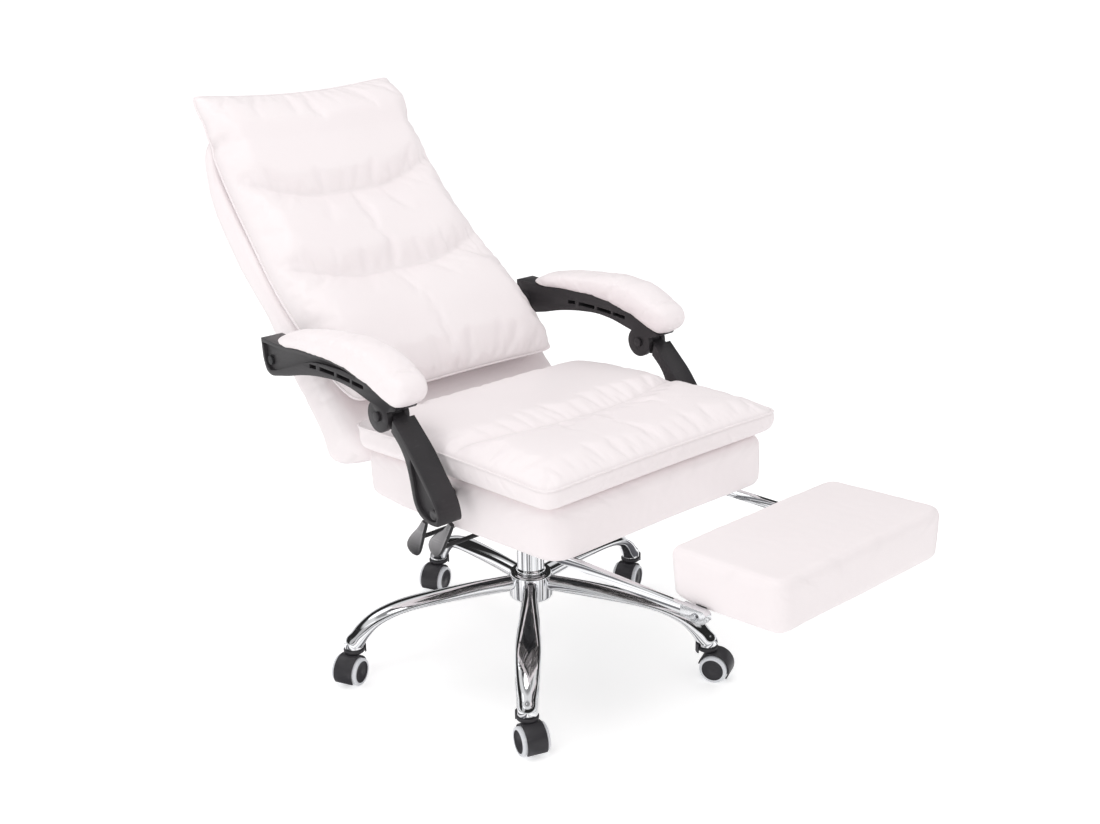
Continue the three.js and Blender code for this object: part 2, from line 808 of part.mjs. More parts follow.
// Rows of reach, width and thickness shares for a lever's stalk and paddle, then the rise
// shares of the rear lever and of the front one
const leverPaddleShares = [
  [0, 0.42, 1.3, 0, 0],
  [0.12, 0.44, 1.3, 0.06, 0.13],
  [0.28, 0.5, 1.2, 0.08, 0.22],
  [0.45, 0.72, 1.05, 0.02, 0.23],
  [0.65, 0.98, 0.85, -0.09, 0.18],
  [0.86, 1, 0.65, -0.21, 0.11],
  [0.96, 0.8, 0.5, -0.28, 0.06],
  [1, 0.5, 0.4, -0.31, 0.04],
];

// Each lever: a steel rod out of the pan and a paddle that droops below the arm
function makeLevers() {
  const names = ['recline', 'height'];
  leverForwards().forEach((forward, k) => {
    const rodEnd = -leverRootReach - leverPaddleThickness;
    const rod = bar('y', leverRodDiameter, rodEnd, -panWidth / 2 + sheetThickness + touchGap,
      [forward, leverLevel], smallSides);
    add(`${names[k]}_lever_rod`, rod, 'steel');
    const paddle = lofted(leverPaddleShares.map((row, i) => paddleRing(i, k)));
    paddle.translate(forward, -leverRootReach, leverLevel);
    const bore = bar('y', leverRodDiameter + 2 * touchGap, rodEnd - touchGap,
      -leverRootReach + overrun, [forward, leverLevel], smallSides);
    add(`${names[k]}_lever_handle`, cut(solid(paddle), solid(bore)), 'blackPlastic');
  });
}

// A ring square to the paddle's own curve
function paddleRing(index, lever) {
  const place = (i) => {
    const row = leverPaddleShares[Math.max(0, Math.min(leverPaddleShares.length - 1, i))];
    return new THREE.Vector2(-row[0] * leverPaddleLength, row[3 + lever] * leverPaddleLength);
  };
  const way = place(index + 1).sub(place(index - 1)).normalize();
  if (index === 0) way.set(-1, 0);
  const [, width, thickness] = leverPaddleShares[index];
  const middle = place(index);
  const ring = [];
  for (let i = 0; i < legSides; i += 1) {
    const turn = i * 2 * Math.PI / legSides;
    const [x, up] = squircle(turn, width * leverPaddleWidth / 2,
      thickness * leverPaddleThickness / 2, 0.7);
    ring.push(new THREE.Vector3(x, middle.x + way.y * up, middle.y - way.x * up));
  }
  return ring;
}

// The seat's half of the back hinge: two cranked plates on a strap under the frame
function makeHingeBracket() {
  const [hingeX, hingeZ] = levelPoint([hingeForward, hingeLevel], seatTilt, seatLevel);
  const foot = plateTop - hingeBossRadius;
  const plateFront = -mechanismPlateLength / 2 + 4 * hingeStrapWidth / 3;
  const strapFront = -mechanismPlateLength / 2 - touchGap;
  const reach = seatRear - touchGap;
  const outline = [
    [plateFront, foot],
    [plateFront, plateTop],
    [reach - touchGap, plateTop],
    [hingeX + hingeBossRadius, plateTop + hingeBossRadius],
    [hingeX + hingeBossRadius, hingeZ],
    [hingeX - hingeBossRadius, hingeZ],
    [hingeX - hingeBossRadius, plateTop],
    [hingeX + hingeBossRadius / 2, foot],
  ];
  const strap = block([strapFront - hingeStrapWidth, -hingePlateSpread, plateTop - sheetThickness],
    [strapFront, hingePlateSpread, plateTop]);
  let body = solid(strap);
  for (const side of [1, -1]) {
    const middle = side * hingePlateSpread;
    const [from, to] = [middle - hingePlateThickness / 2, middle + hingePlateThickness / 2];
    const boss = bar('y', 2 * hingeBossRadius, from, to, [hingeX, hingeZ]);
    body = joined(body, solid(sideView(outline, from, to)), solid(boss));
  }
  const bore = bar('y', reclineShaftDiameter + 2 * touchGap, -2 * hingePlateSpread,
    2 * hingePlateSpread, [hingeX, hingeZ], smallSides);
  add('seat_hinge_bracket', cut(body, solid(bore)), 'blackSteel', seat);
  const headFace = hingePlateSpread + hingePlateThickness / 2 + touchGap;
  const pin = bar('y', reclineShaftDiameter, -headFace - shaftHeadThickness,
    headFace + shaftHeadThickness, [hingeForward, hingeLevel], smallSides);
  const head = (side) => solid(bar('y', shaftHeadDiameter,
    ...sorted(side, headFace, headFace + shaftHeadThickness), [hingeForward, hingeLevel], smallSides));
  add('recline_shaft', joined(solid(pin), head(1), head(-1)), 'steel');
}

// The back is drawn upright about its hinge, X forward and Z up, then laid back
const back = new THREE.Group();
back.position.set(hingeForward, 0, hingeLevel);
back.rotation.y = -radians(reclineAngle);
chair.add(back);
const barSpread = hingePlateSpread - hingePlateThickness - hingePlateGap;

// Side view of a back bar: rows of height, rear and front shares of its width
function backBarOutline(room) {
  const low = -lockLugDrop;
  const rows = [
    [-room, -0.58, 0.58],
    [armCarrierHeight, -0.5, 0.62],
    [armCarrierHeight * 1.6, -0.74, -0.32],
    [backBarTop + room, -1.08, -0.5],
  ];
  const rear = rows.map(([height, share]) => [share * backBarWidth - room, height]);
  const front = rows.map(([height, , share]) => [share * backBarWidth + room, height]);
  return { low, points: [...rear, ...front.reverse()] };
}

function backFrameSolid(room) {
  const bars = [1, -1].map((side) => {
    const middle = side * barSpread;
    const [from, to] = [middle - hingePlateThickness / 2 - room, middle + hingePlateThickness / 2 + room];
    const boss = bar('y', 2 * hingeBossRadius + 2 * room, from, to, [0, 0]);
    return joined(solid(sideView(backBarOutline(room).points, from, to)), solid(boss));
  });
  const carrier = bar('y', armCarrierDiameter + 2 * room, -armCarrierLength / 2 - room,
    armCarrierLength / 2 + room, [armCarrierForward, armCarrierHeight]);
  const crossBar = block(
    [-1.08 * backBarWidth - room, -crossBarWidth / 2 - room, backBarTop - crossBarHeight - room],
    [-1.08 * backBarWidth + sheetThickness + room, crossBarWidth / 2 + room, backBarTop + room],
  );
  return joined(bars[0], bars[1], solid(carrier), solid(crossBar));
}

function makeBackFrame() {
  const side = lockSide > 0 ? 1 : -1;
  const inner = barSpread - hingePlateThickness / 2;
  const lugOutline = [
    [-hingeBossRadius, 0],
    [-lockLugBack - lockLugRadius, -lockLugDrop + lockLugRadius / 2],
    [-lockLugBack + lockLugRadius, -lockLugDrop],
    [hingeBossRadius / 2, -hingeBossRadius / 2],
  ];
  const lug = sideView(lugOutline, inner, inner + hingePlateThickness);
  const lugEnd = bar('y', 2 * lockLugRadius, inner, inner + hingePlateThickness,
    [-lockLugBack, -lockLugDrop]);
  const pin = bar('y', lockPinDiameter, side * lockSide - lockEyeWidth, inner + hingePlateThickness / 2,
    [-lockLugBack, -lockLugDrop], smallSides);
  const shaftBore = bar('y', reclineShaftDiameter + 2 * runningGap, -2 * hingePlateSpread,
    2 * hingePlateSpread, [0, 0], smallSides);
  const boltBore = bar('y', armBoltDiameter + 2 * touchGap, -armCarrierLength,
    armCarrierLength, [armCarrierForward, armCarrierHeight], smallSides);
  const body = joined(backFrameSolid(0), solid(lug), solid(lugEnd), solid(pin));
  add('back_frame', cut(body, solid(shaftBore), solid(boltBore)), 'blackSteel', back);
}

// Upholstered shell: rows of height, rear, front and width shares
const shellShares = [
  [0, -0.36, 0.12, 0.8],
  [0.0111, -0.76, 0.2, 0.88],
  [0.025, -1.16, 0.28, 0.93],
  [0.0417, -1.56, 0.36, 0.96],
  [0.0583, -1.8, 0.4, 0.985],
  [0.0778, -1.9, 0.44, 1],
  [0.1, -1.8, 0.44, 1],
  [0.1278, -1.6, 0.44, 1],
  [0.1806, -1.52, 0.44, 1],
  [0.3014, -1.5, 0.43, 1],
  [0.3389, -1.44, 0.42, 1],
  [0.3944, -1.28, 0.2, 1],
  [0.475, -1.1, 0, 1],
  [0.55, -1.16, -0.04, 1],
  [0.6347, -1.2, -0.04, 1],
  [0.7333, -1.04, -0.04, 1],
  [0.8, -0.84, 0.04, 1],
  [0.8639, -0.6, 0.12, 0.98],
  [0.9306, -0.2, 0.52, 0.952],
  [0.9583, -0.04, 0.68, 0.92],
  [1, 0.4, 0.92, 0.813],
];

function shellFrontAt(height) {
  const share = (height - backShellFoot) / backShellHeight;
  return reading(shellShares, share, 2) * backShellThickness;
}

function shellGeometry() {
  const rings = shellShares.map(([height, rear, front, width]) => {
    const middle = (rear + front) / 2 * backShellThickness;
    const half = (front - rear) / 2 * backShellThickness;
    const corner = Math.min(backShellCorner, 0.9 * half);
    const halfWidth = width * backShellWidth / 2;
    const ring = [];
    for (let i = 0; i < shellCells; i += 1) {
      const quarter = Math.floor(4 * i / shellCells);
      const along = i % (shellCells / 4) / (shellCells / 4 - 1);
      const turn = (quarter + along) * Math.PI / 2;
      const [signX, signY] = [[1, -1, -1, 1][quarter], [1, 1, -1, -1][quarter]];
      const x = signX * (half - corner) + corner * Math.cos(turn);
      const y = signY * (halfWidth - corner) + corner * Math.sin(turn);
      ring.push(new THREE.Vector3(middle + x, y, backShellFoot + height * backShellHeight));
    }
    return ring;
  });
  return lofted(rings);
}

function makeBackShell() {
  const slotTop = hingeBossRadius + 2 * runningGap;
  const slot = (side) => {
    const edges = [
      side * (barSpread - hingePlateThickness / 2 - runningGap),
      side * (hingePlateSpread + hingePlateThickness / 2 + shaftHeadThickness + 2 * runningGap),
    ];
    return solid(block(
      [-3 * backShellThickness, Math.min(...edges), 3 * backShellFoot],
      [3 * backShellThickness, Math.max(...edges), slotTop],
    ));
  };
  const shaftRoom = bar('y', reclineShaftDiameter + 4 * runningGap, -barSpread, barSpread,
    [0, 0], smallSides);
  const boltRoom = bar('y', armBoltDiameter + 4 * runningGap, -backShellWidth, backShellWidth,
    [armCarrierForward, armCarrierHeight], smallSides);
  const body = cut(solid(shellGeometry()), backFrameSolid(touchGap), slot(1), slot(-1),
    solid(shaftRoom), solid(boltRoom));
  add('back_shell', body, 'whiteLeather', back);
}

// Stuffed back pad: rows of length, seam and fullness shares
const backPadShares = [
  [0, 0.72, 0],
  [0.04, 0.6, 0.4],
  [0.1, 0.46, 0.54],
  [0.2, 0.34, 0.66],
  [0.3, 0.19, 0.64],
  [0.4, 0.1, 0.6],
  [0.55, 0.07, 0.58],
  [0.7, 0.14, 0.56],
  [0.8, 0.28, 0.46],
  [0.88, 0.46, 0.27],
  [0.95, 0.62, 0.12],
  [1, 0.72, 0],
];
const backPadHalfShares = [
  [0, 0.48],
  [0.089, 0.5],
  [0.215, 0.5],
  [0.378, 0.496],
  [0.583, 0.48],
  [1, 0.4715],
];
const backChannelShares = [0.363, 0.645];
const backPadWidth = backShellWidth - 2 * backPadInset;

function backPadGeometry() {
  const surface = (facing) => new ParametricGeometry((u, v, target) => {
    const across = 2 * u - 1;
    const height = backPadFoot + v * backPadLength;
    const sag = (1 - across * across) * (v * backPadTopSag - (1 - v) * backPadDrawIn);
    const half = reading(backPadHalfShares, v) * backPadWidth;
    const seam = Math.max(reading(backPadShares, v) * backPadDepth,
      shellFrontAt(height) + 9 * touchGap);
    const edge = fullness(u, 10) * fullness(v, 16);
    let x = seam;
    if (facing) {
      const channel = backChannelShares.reduce((sum, place) => {
        const lift = 0.045 * Math.max(0, Math.abs(across) - 0.45);
        return sum + Math.exp(-(((v - place - lift) / 0.022) ** 2));
      }, 0);
      const dip = channel * backPadChannelDepth * (1 - Math.abs(across) ** 3);
      x += edge * Math.max(touchGap, reading(backPadShares, v, 2) * backPadDepth - dip);
    } else {
      const rest = shellFrontAt(height) + 6 * touchGap;
      x -= (seam - rest) * fullness(u, 16) * fullness(v, 16);
    }
    target.set(x, across * half, height - sag);
  }, ...backPadCells);
  return pillow(surface(true), surface(false));
}

// Lockable gas strut between the mechanism and the back frame
function makeReclineLock() {
  const rearX = hingeForward - lockLugBack * Math.cos(radians(reclineAngle))
    + lockLugDrop * Math.sin(radians(reclineAngle));
  const rearZ = hingeLevel - lockLugBack * Math.sin(radians(reclineAngle))
    - lockLugDrop * Math.cos(radians(reclineAngle));
  const [runX, runZ] = [rearX - lockFrontForward, rearZ - lockFrontLevel];
  const length = Math.hypot(runX, runZ);
  const strut = new THREE.Group();
  strut.position.set(lockFrontForward, lockSide, lockFrontLevel);
  strut.rotation.y = -Math.atan2(runZ, runX);
  chair.add(strut);
  const eyeRadius = lockEyeDiameter / 2;
  const eye = (forward) => solid(bar('y', lockEyeDiameter, -lockEyeWidth / 2, lockEyeWidth / 2,
    [forward, 0], smallSides));
  const eyeBore = (forward, play) => solid(bar('y', lockPinDiameter + 2 * (runningGap + play),
    -lockEyeWidth, lockEyeWidth, [forward, 0], smallSides));
  const neck = bar('x', lockRodDiameter, 0, eyeRadius + lockEyeWidth, [0, 0], smallSides);
  const tube = bar('x', lockCylinderDiameter, eyeRadius + lockEyeWidth / 2, lockCylinderLength,
    [0, 0], smallSides);
  const tubeBore = bar('x', lockRodDiameter + 2 * runningGap, eyeRadius + 2 * lockEyeWidth,
    lockCylinderLength + overrun, [0, 0], smallSides);
  add('recline_lock_cylinder', cut(joined(eye(0), solid(neck), solid(tube)), eyeBore(0, 0),
    solid(tubeBore)), 'blackSteel', strut);
  const rodFoot = eyeRadius + 2 * lockEyeWidth + runningGap;
  const rod = bar('x', lockRodDiameter, rodFoot, length, [0, 0], smallSides);
  add('recline_lock_rod', cut(joined(eye(length), solid(rod)),
    eyeBore(length, lockEyePlay)), 'steel', strut);
}

// Arms: the upper arm runs from the back to the elbow disc, the lower arm from there to the seat
const armSpanRear = (() => {
  const lean = radians(reclineAngle);
  return {
    x: hingeForward + armCarrierForward * Math.cos(lean) - armCarrierHeight * Math.sin(lean),
    z: hingeLevel + armCarrierForward * Math.sin(lean) + armCarrierHeight * Math.cos(lean),
  };
})();

const armOutlineRun = elbowForward + elbowOutlineAdvance - armSpanRear.x;
// How far below the rear bolt the elbow lies in the outlines below, as a share of the run
const elbowFallShare = 0.0661;

// The height of an outline point, with the outline leant so that its elbow meets the real one
function armLevel(reach, rise) {
  const lean = elbowLevel - armSpanRear.z + elbowFallShare * armOutlineRun;
  return armSpanRear.z + rise * armOutlineRun + reach * lean;
}

// Upper arm outline in shares of its run from the rear bolt
const armTopShares = [
  [-0.067, 0.115],
  [-0.0067, 0.113],
  [0.1, 0.1113],
  [0.1606, 0.11],
  [0.215, 0.1161],
  [0.393, 0.131],
  [0.587, 0.1364],
  [0.754, 0.1249],
  [0.822, 0.11],
  [0.887, 0.09],
  [0.9565, 0.076],
  [1.0105, 0.0545],
  [1.077, 0.0265],
  [1.146, 0.005],
];
const armUnderShares = [
  [1.135, -0.008],
  [1.09, -0.02],
  [1.06, -0.028],
  [0.936, -0.008],
  [0.823, 0.017],
  [0.75, 0.029],
  [0.645, 0.035],
  [0.53, 0.026],
  [0.42, 0.0105],
  [0.31, -0.012],
  [0.2, -0.042],
  [0.109, -0.062],
  [0.03, -0.0782],
  [-0.02, -0.068],
  [-0.034, -0.061],
  [-0.059, 0],
];
const armRecessShares = [
  [-0.043, 0.092],
  [0.16, 0.09],
  [0.393, 0.114],
  [0.587, 0.12],
  [0.73, 0.109],
  [0.82, 0.09],
  [0.645, 0.1],
  [0.53, 0.095],
  [0.42, 0.083],
  [0.31, 0.05],
  [0.2, 0.006],
  [0.109, -0.026],
  [0.03, -0.048],
  [-0.015, -0.045],
  [-0.043, 0],
];
const armWindowShares = [
  [0.401, 0.462],
  [0.495, 0.629],
  [0.65, 0.766],
  [0.784, 0.881],
];
const armWindowLevelShare = 0.0555;

function armPoints(shares) {
  return shares.map(([reach, rise]) => (
    [armSpanRear.x + reach * armOutlineRun, armLevel(reach, rise)]));
}

// Lower arm outline in shares of the run from the elbow to the cap at its foot
const lowerArmShares = [
  [0.292, 1.015],
  [0.504, 0.817],
  [0.664, 0.687],
  [0.869, 0.382],
  [1.037, 0.206],
  [1.11, 0.038],
  [1.131, -0.099],
  [1.088, -0.13],
  [0.934, -0.145],
  [0.796, -0.111],
  [0.715, -0.053],
  [0.635, 0.038],
  [0.584, 0.336],
  [0.547, 0.45],
  [0.489, 0.649],
  [0.416, 0.71],
  [0.255, 0.863],
];
const lowerArmRecessShares = [
  [0.606, 0.603],
  [0.752, 0.435],
  [0.898, 0.26],
  [1.007, 0.137],
  [1.058, 0.015],
  [1.058, -0.061],
  [1, -0.092],
  [0.912, -0.092],
  [0.81, -0.053],
  [0.73, 0.023],
  [0.686, 0.13],
  [0.65, 0.344],
  [0.606, 0.496],
];

// Rows of reach, thickness and width shares; the reaches hold those of the arm's top edge
const armPadShares = [
  [0.065, 0.06, 0.25],
  [0.1, 0.3, 0.55],
  [0.1606, 0.47, 0.78],
  [0.215, 0.585, 0.9],
  [0.393, 0.74, 0.98],
  [0.587, 0.885, 1],
  [0.754, 1.1, 1],
  [0.822, 1.18, 1],
  [0.887, 1.28, 1],
  [0.9565, 1.35, 1],
  [1.0105, 1.38, 1],
  [1.077, 1.4, 0.98],
  [1.146, 1.3, 0.92],
  [1.18, 1.12, 0.85],
  [1.214, 0.72, 0.7],
  [1.232, 0.25, 0.42],
];
const armPadNoseShares = [
  [1.146, 0.005],
  [1.18, 0.018],
  [1.214, 0.045],
  [1.232, 0.075],
];

function armPadGeometry(middle) {
  const cells = 16;
  const rings = armPadShares.map(([reach, thickness, width]) => {
    const rise = reading(reach > armPadNoseShares[0][0] ? armPadNoseShares : armTopShares, reach);
    const under = armLevel(reach, rise) + touchGap;
    const half = thickness * armPadThickness / 2;
    const ring = [];
    for (let i = 0; i < cells; i += 1) {
      const [y, z] = squircle(i * 2 * Math.PI / cells, width * armPadWidth / 2, half, 0.66);
      ring.push(new THREE.Vector3(armSpanRear.x + reach * armOutlineRun, middle + y, under + half + z));
    }
    return ring;
  });
  return lofted(rings);
}

function sorted(side, a, b) {
  return side > 0 ? [a, b] : [-b, -a];
}

function makeArm(side) {
  const label = side > 0 ? 'left' : 'right';
  const [innerFace, outerFace] = [armOffset - armWidth / 2, armOffset + armWidth / 2];
  const [tongueInner, tongueOuter] = [armOffset - elbowTongueWidth / 2, armOffset + elbowTongueWidth / 2];
  const elbow = [elbowForward, elbowLevel];
  const foot = [armFootForward, armFootLevel];
  const cap = [armFootCapForward, armFootCapLevel];
  const rear = [armSpanRear.x, armSpanRear.z];
  const across = (make, from, to) => make(...sorted(side, from, to));
  const slab = (points, from, to) => solid(across((a, b) => sideView(points, a, b), from, to));
  const round = (diameter, from, to, centre, sides) => (
    solid(across((a, b) => bar('y', diameter, a, b, centre, sides), from, to)));
  const boltBore = armBoltDiameter + 2 * touchGap;
  const boltRoom = armBoltHeadDiameter + 2 * overrun;
  const clear = elbowDiscDiameter + 2 * overrun;

  const windows = armWindowShares.map(([from, to]) => {
    const level = armLevel(from, armWindowLevelShare);
    const sag = (share) => armWindowHeight * Math.max(0, Math.abs(share - 0.6) - 0.1) * 3;
    const [rearX, frontX] = [from, to].map((share) => armSpanRear.x + share * armOutlineRun);
    return slab([
      [rearX, level - sag(from)],
      [frontX, level - sag(to)],
      [frontX, level + armWindowHeight - sag(to)],
      [rearX, level + armWindowHeight - sag(from)],
    ], innerFace - overrun, outerFace + overrun);
  });
  const shellSide = backShellWidth / 2 + fenderGap;
  const upper = cut(
    joined(
      slab(armPoints([...armTopShares, ...armUnderShares]), innerFace, outerFace),
      round(armRearBossDiameter, shellSide, innerFace + overrun, rear),
      round(elbowDiscDiameter, innerFace, outerFace, elbow),
    ),
    round(clear, tongueInner - 2 * touchGap, tongueOuter + 2 * touchGap, elbow),
    slab(armPoints(armRecessShares), outerFace - pocketDepth, outerFace + overrun),
    round(boltRoom, outerFace - pocketDepth, outerFace + overrun, rear),
    round(boltBore, innerFace - overrun, outerFace + overrun, elbow, smallSides),
    round(armBoltDiameter + 2 * openPivotPlay, 0, outerFace + overrun, rear, smallSides),
    ...windows,
  );
  add(`upper_arm_${label}`, upper, 'blackPlastic');
  add(`arm_pad_${label}`, armPadGeometry(side * armOffset), 'whiteLeather');

  const bossFace = seatWidth / 2 + touchGap;
  const neck = [
    [elbowForward, elbowLevel + elbowTongueDiameter / 4],
    ...armLowerPoints([lowerArmShares[0], lowerArmShares[1], lowerArmShares[15], lowerArmShares[16]]),
    [elbowForward, elbowLevel - elbowTongueDiameter / 2.2],
  ];
  const arm = cut(
    slab(armLowerPoints(lowerArmShares), innerFace, outerFace),
    round(clear, innerFace - overrun, tongueInner, elbow),
    round(clear, tongueOuter, outerFace + overrun, elbow),
    slab(armLowerPoints(lowerArmRecessShares), outerFace - pocketDepth, outerFace + overrun),
  );
  const lower = cut(
    joined(
      arm,
      round(elbowTongueDiameter, tongueInner, tongueOuter, elbow),
      slab(neck, tongueInner, tongueOuter),
      round(armBoltHeadDiameter, outerFace - pocketDepth - overrun, outerFace - touchGap, cap),
      round(armFootBossDiameter, bossFace, innerFace + overrun, foot),
    ),
    round(boltBore, innerFace - overrun, outerFace + overrun, elbow, smallSides),
    round(boltBore, 0, innerFace + armBoltReach + touchGap, foot, smallSides),
  );
  add(`lower_arm_${label}`, lower, 'blackPlastic');

  const bolt = (name, from, to, centre, heads) => {
    const shank = round(armBoltDiameter, from, to, centre, smallSides);
    const rims = heads.map(([diameter, face]) => (
      round(diameter, face, face + armBoltHeadThickness, centre, smallSides)));
    add(`${name}_bolt_${label}`, joined(shank, ...rims), 'blackSteel');
  };
  const pocketFace = outerFace - pocketDepth + touchGap;
  const [capOut, capIn] = [outerFace + touchGap, innerFace - touchGap - armBoltHeadThickness];
  const frameFace = frameSide - railWidth - touchGap;
  const sunk = armBoltHeadThickness / 2;
  bolt('arm_rear', armCarrierLength / 2 - armBoltReach, pocketFace + sunk, rear,
    [[armBoltHeadDiameter, pocketFace]]);
  bolt('elbow', capIn + sunk, capOut + sunk, elbow,
    [[armBoltHeadDiameter, capOut], [armBoltHeadDiameter, capIn]]);
  bolt('arm_foot', frameFace - sunk, innerFace + armBoltReach, foot,
    [[armFootHeadDiameter, frameFace - armBoltHeadThickness]]);
}

function armLowerPoints(shares) {
  const [run, fall] = [armFootCapForward - elbowForward, elbowLevel - armFootCapLevel];
  return shares.map(([across, up]) => [elbowForward + across * run, armFootCapLevel + up * fall]);
}

// Footrest: rails in guides under the frame, end blocks and a pad that turns over
const railMiddle = footrestRailSpread / 2;
const footrestPadWidth = footrestRailSpread - endBlockWidth - 2 * footrestPadGap;
const footrestBoardWidth = footrestPadWidth - 2 * footrestBoardSideInset;
const railHalf = footrestRailHeight / 2;

function onRails(geometry) {
  return solid(tipped(geometry, footrestRailTilt, footrestRailLevel));
}

function makeFootrest(side) {
  const label = side > 0 ? 'left' : 'right';
  const middle = side * railMiddle;
  const halfWidth = footrestRailWidth / 2;
  const railFront = endBlockRear + endBlockLength / 4;
  const rail = block([footrestRailRear, middle - halfWidth, -railHalf],
    [railFront, middle + halfWidth, railHalf]);
  const hollow = block(
    [footrestRailRear - overrun, middle - halfWidth + footrestRailWall, -railHalf + footrestRailWall],
    [endBlockRear, middle + halfWidth - footrestRailWall, railHalf - footrestRailWall],
  );
  add(`footrest_rail_${label}`, cut(onRails(rail), onRails(hollow)), 'chrome');

  const guideHalf = halfWidth + runningGap + guideWall;
  const railLine = (x, z) => tippedPoint([x, z], footrestRailTilt, footrestRailLevel);
  const seatLine = (x) => tippedPoint([x, plateTop], seatTilt, seatLevel);
  const guideFoot = -railHalf - runningGap - guideWall;
  const guide = sideView([
    railLine(guideFront - guideLength, guideFoot),
    railLine(guideFront, guideFoot),
    seatLine(guideFront),
    seatLine(guideFront - guideLength),
  ], middle - guideHalf, middle + guideHalf);
  const channel = block(
    [guideFront - guideLength - 2 * overrun, middle - halfWidth - runningGap, -railHalf - runningGap],
    [guideFront + 2 * overrun, middle + halfWidth + runningGap, railHalf + runningGap],
  );
  add(`rail_guide_${label}`, cut(solid(guide), onRails(channel)), 'blackSteel');

  const [pivotX, pivotZ] = levelPoint([footrestHingeForward, footrestHingeLevel],
    footrestRailTilt, footrestRailLevel);
  const blockHalf = endBlockWidth / 2;
  const endBlock = block(
    [endBlockRear, middle - blockHalf, railHalf + endBlockWall - endBlockHeight],
    [endBlockRear + endBlockLength, middle + blockHalf, railHalf + endBlockWall],
  );
  const railPocket = block(
    [endBlockRear - overrun, middle - halfWidth - touchGap, -railHalf - touchGap],
    [railFront + touchGap, middle + halfWidth + touchGap, railHalf + touchGap],
  );
  const bore = bar('y', footrestBoltDiameter + 2 * runningGap, middle - endBlockWidth,
    middle + endBlockWidth, [pivotX, pivotZ], smallSides);
  add(`footrest_end_block_${label}`, cut(onRails(endBlock), onRails(railPocket), onRails(bore)), 'chrome');

  const centre = [footrestHingeForward, footrestHingeLevel];
  const outer = railMiddle + blockHalf + touchGap;
  const inner = footrestEarInner();
  const shank = bar('y', footrestBoltDiameter, ...sorted(side, inner, outer + footrestBoltHeadThickness / 2),
    centre, smallSides);
  const head = bar('y', footrestBoltHeadDiameter, ...sorted(side, outer, outer + footrestBoltHeadThickness),
    centre, smallSides);
  add(`footrest_pivot_bolt_${label}`, joined(solid(shank), solid(head)), 'steel');
}

function footrestEarInner() {
  return railMiddle - endBlockWidth / 2 - footrestEarThickness - runningGap;
}

// The pad and its board are drawn about the pivot and tipped with it
function makeFootrestPad() {
  const footrest = new THREE.Group();
  footrest.position.set(footrestHingeForward, 0, footrestHingeLevel);
  footrest.rotation.y = -radians(footrestPadTilt);
  chair.add(footrest);
  const front = footrestPadRear + footrestPadDepth;
  const earInner = footrestEarInner();
  const boardTop = footrestPadFoot - touchGap;
  const plate = block(
    [footrestPadRear + footrestBoardInset, -footrestBoardWidth / 2, boardTop - footrestBoardThickness],
    [front - footrestBoardInset, footrestBoardWidth / 2, boardTop],
  );
  let board = solid(plate);
  for (const side of [1, -1]) {
    const [from, to] = sorted(side, earInner, earInner + footrestEarThickness);
    const tabSides = sorted(side, earInner - footrestPadWidth / 8, earInner + footrestEarThickness);
    const tab = block([-footrestEarRadius, tabSides[0], boardTop - footrestBoardThickness],
      [footrestEarRadius, tabSides[1], boardTop]);
    const ear = block([-footrestEarRadius, from, 0], [footrestEarRadius, to, boardTop]);
    const end = bar('y', 2 * footrestEarRadius, from, to, [0, 0]);
    board = joined(board, solid(tab), solid(ear), solid(end));
  }
  const bore = bar('y', footrestBoltDiameter + 2 * touchGap, -footrestRailSpread, footrestRailSpread,
    [0, 0], smallSides);
  add('footrest_board', cut(board, solid(bore)), 'blackSteel', footrest);
  add('footrest_pad', boxedCushion({
    middle: (footrestPadRear + front) / 2,
    halfLength: footrestPadDepth / 2,
    halfWidth: footrestPadWidth / 2,
    foot: footrestPadFoot,
    top: footrestPadFoot + footrestPadThickness,
    edge: footrestPadEdge,
    corner: footrestPadCorner,
    drawIn: 0,
    crown: footrestPadCrown,
  }), 'whiteLeather', footrest);
}

makeBase();
makeGasLift();
makeCasters();
makeSeat();
makeMechanism();
makeLevers();
makeHingeBracket();
makeBackFrame();
makeBackShell();
add('back_pad', backPadGeometry(), 'whiteLeather', back);
makeReclineLock();
makeArm(1);
makeArm(-1);
makeFootrest(1);
makeFootrest(-1);
makeFootrestPad();

export default chair;
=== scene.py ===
import json
import math

import bmesh
import bpy
import numpy as np
from mathutils import Matrix, Vector, noise


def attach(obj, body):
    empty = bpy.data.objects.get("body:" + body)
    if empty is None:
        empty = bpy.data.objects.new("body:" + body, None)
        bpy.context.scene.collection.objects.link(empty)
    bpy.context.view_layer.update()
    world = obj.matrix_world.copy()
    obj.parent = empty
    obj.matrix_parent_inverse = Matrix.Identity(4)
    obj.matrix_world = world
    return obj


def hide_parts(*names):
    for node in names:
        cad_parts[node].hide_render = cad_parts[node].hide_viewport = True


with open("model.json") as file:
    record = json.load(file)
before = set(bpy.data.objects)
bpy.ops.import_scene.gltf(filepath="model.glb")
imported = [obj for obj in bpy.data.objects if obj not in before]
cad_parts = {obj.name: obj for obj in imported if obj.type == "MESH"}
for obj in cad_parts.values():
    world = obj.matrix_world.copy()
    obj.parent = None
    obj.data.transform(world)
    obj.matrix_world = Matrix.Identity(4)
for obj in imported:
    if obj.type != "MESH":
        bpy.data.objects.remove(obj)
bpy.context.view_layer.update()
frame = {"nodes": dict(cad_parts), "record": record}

MM = 0.001
AXIS = {"x": Vector((1, 0, 0)), "y": Vector((0, 1, 0)), "z": Vector((0, 0, 1))}

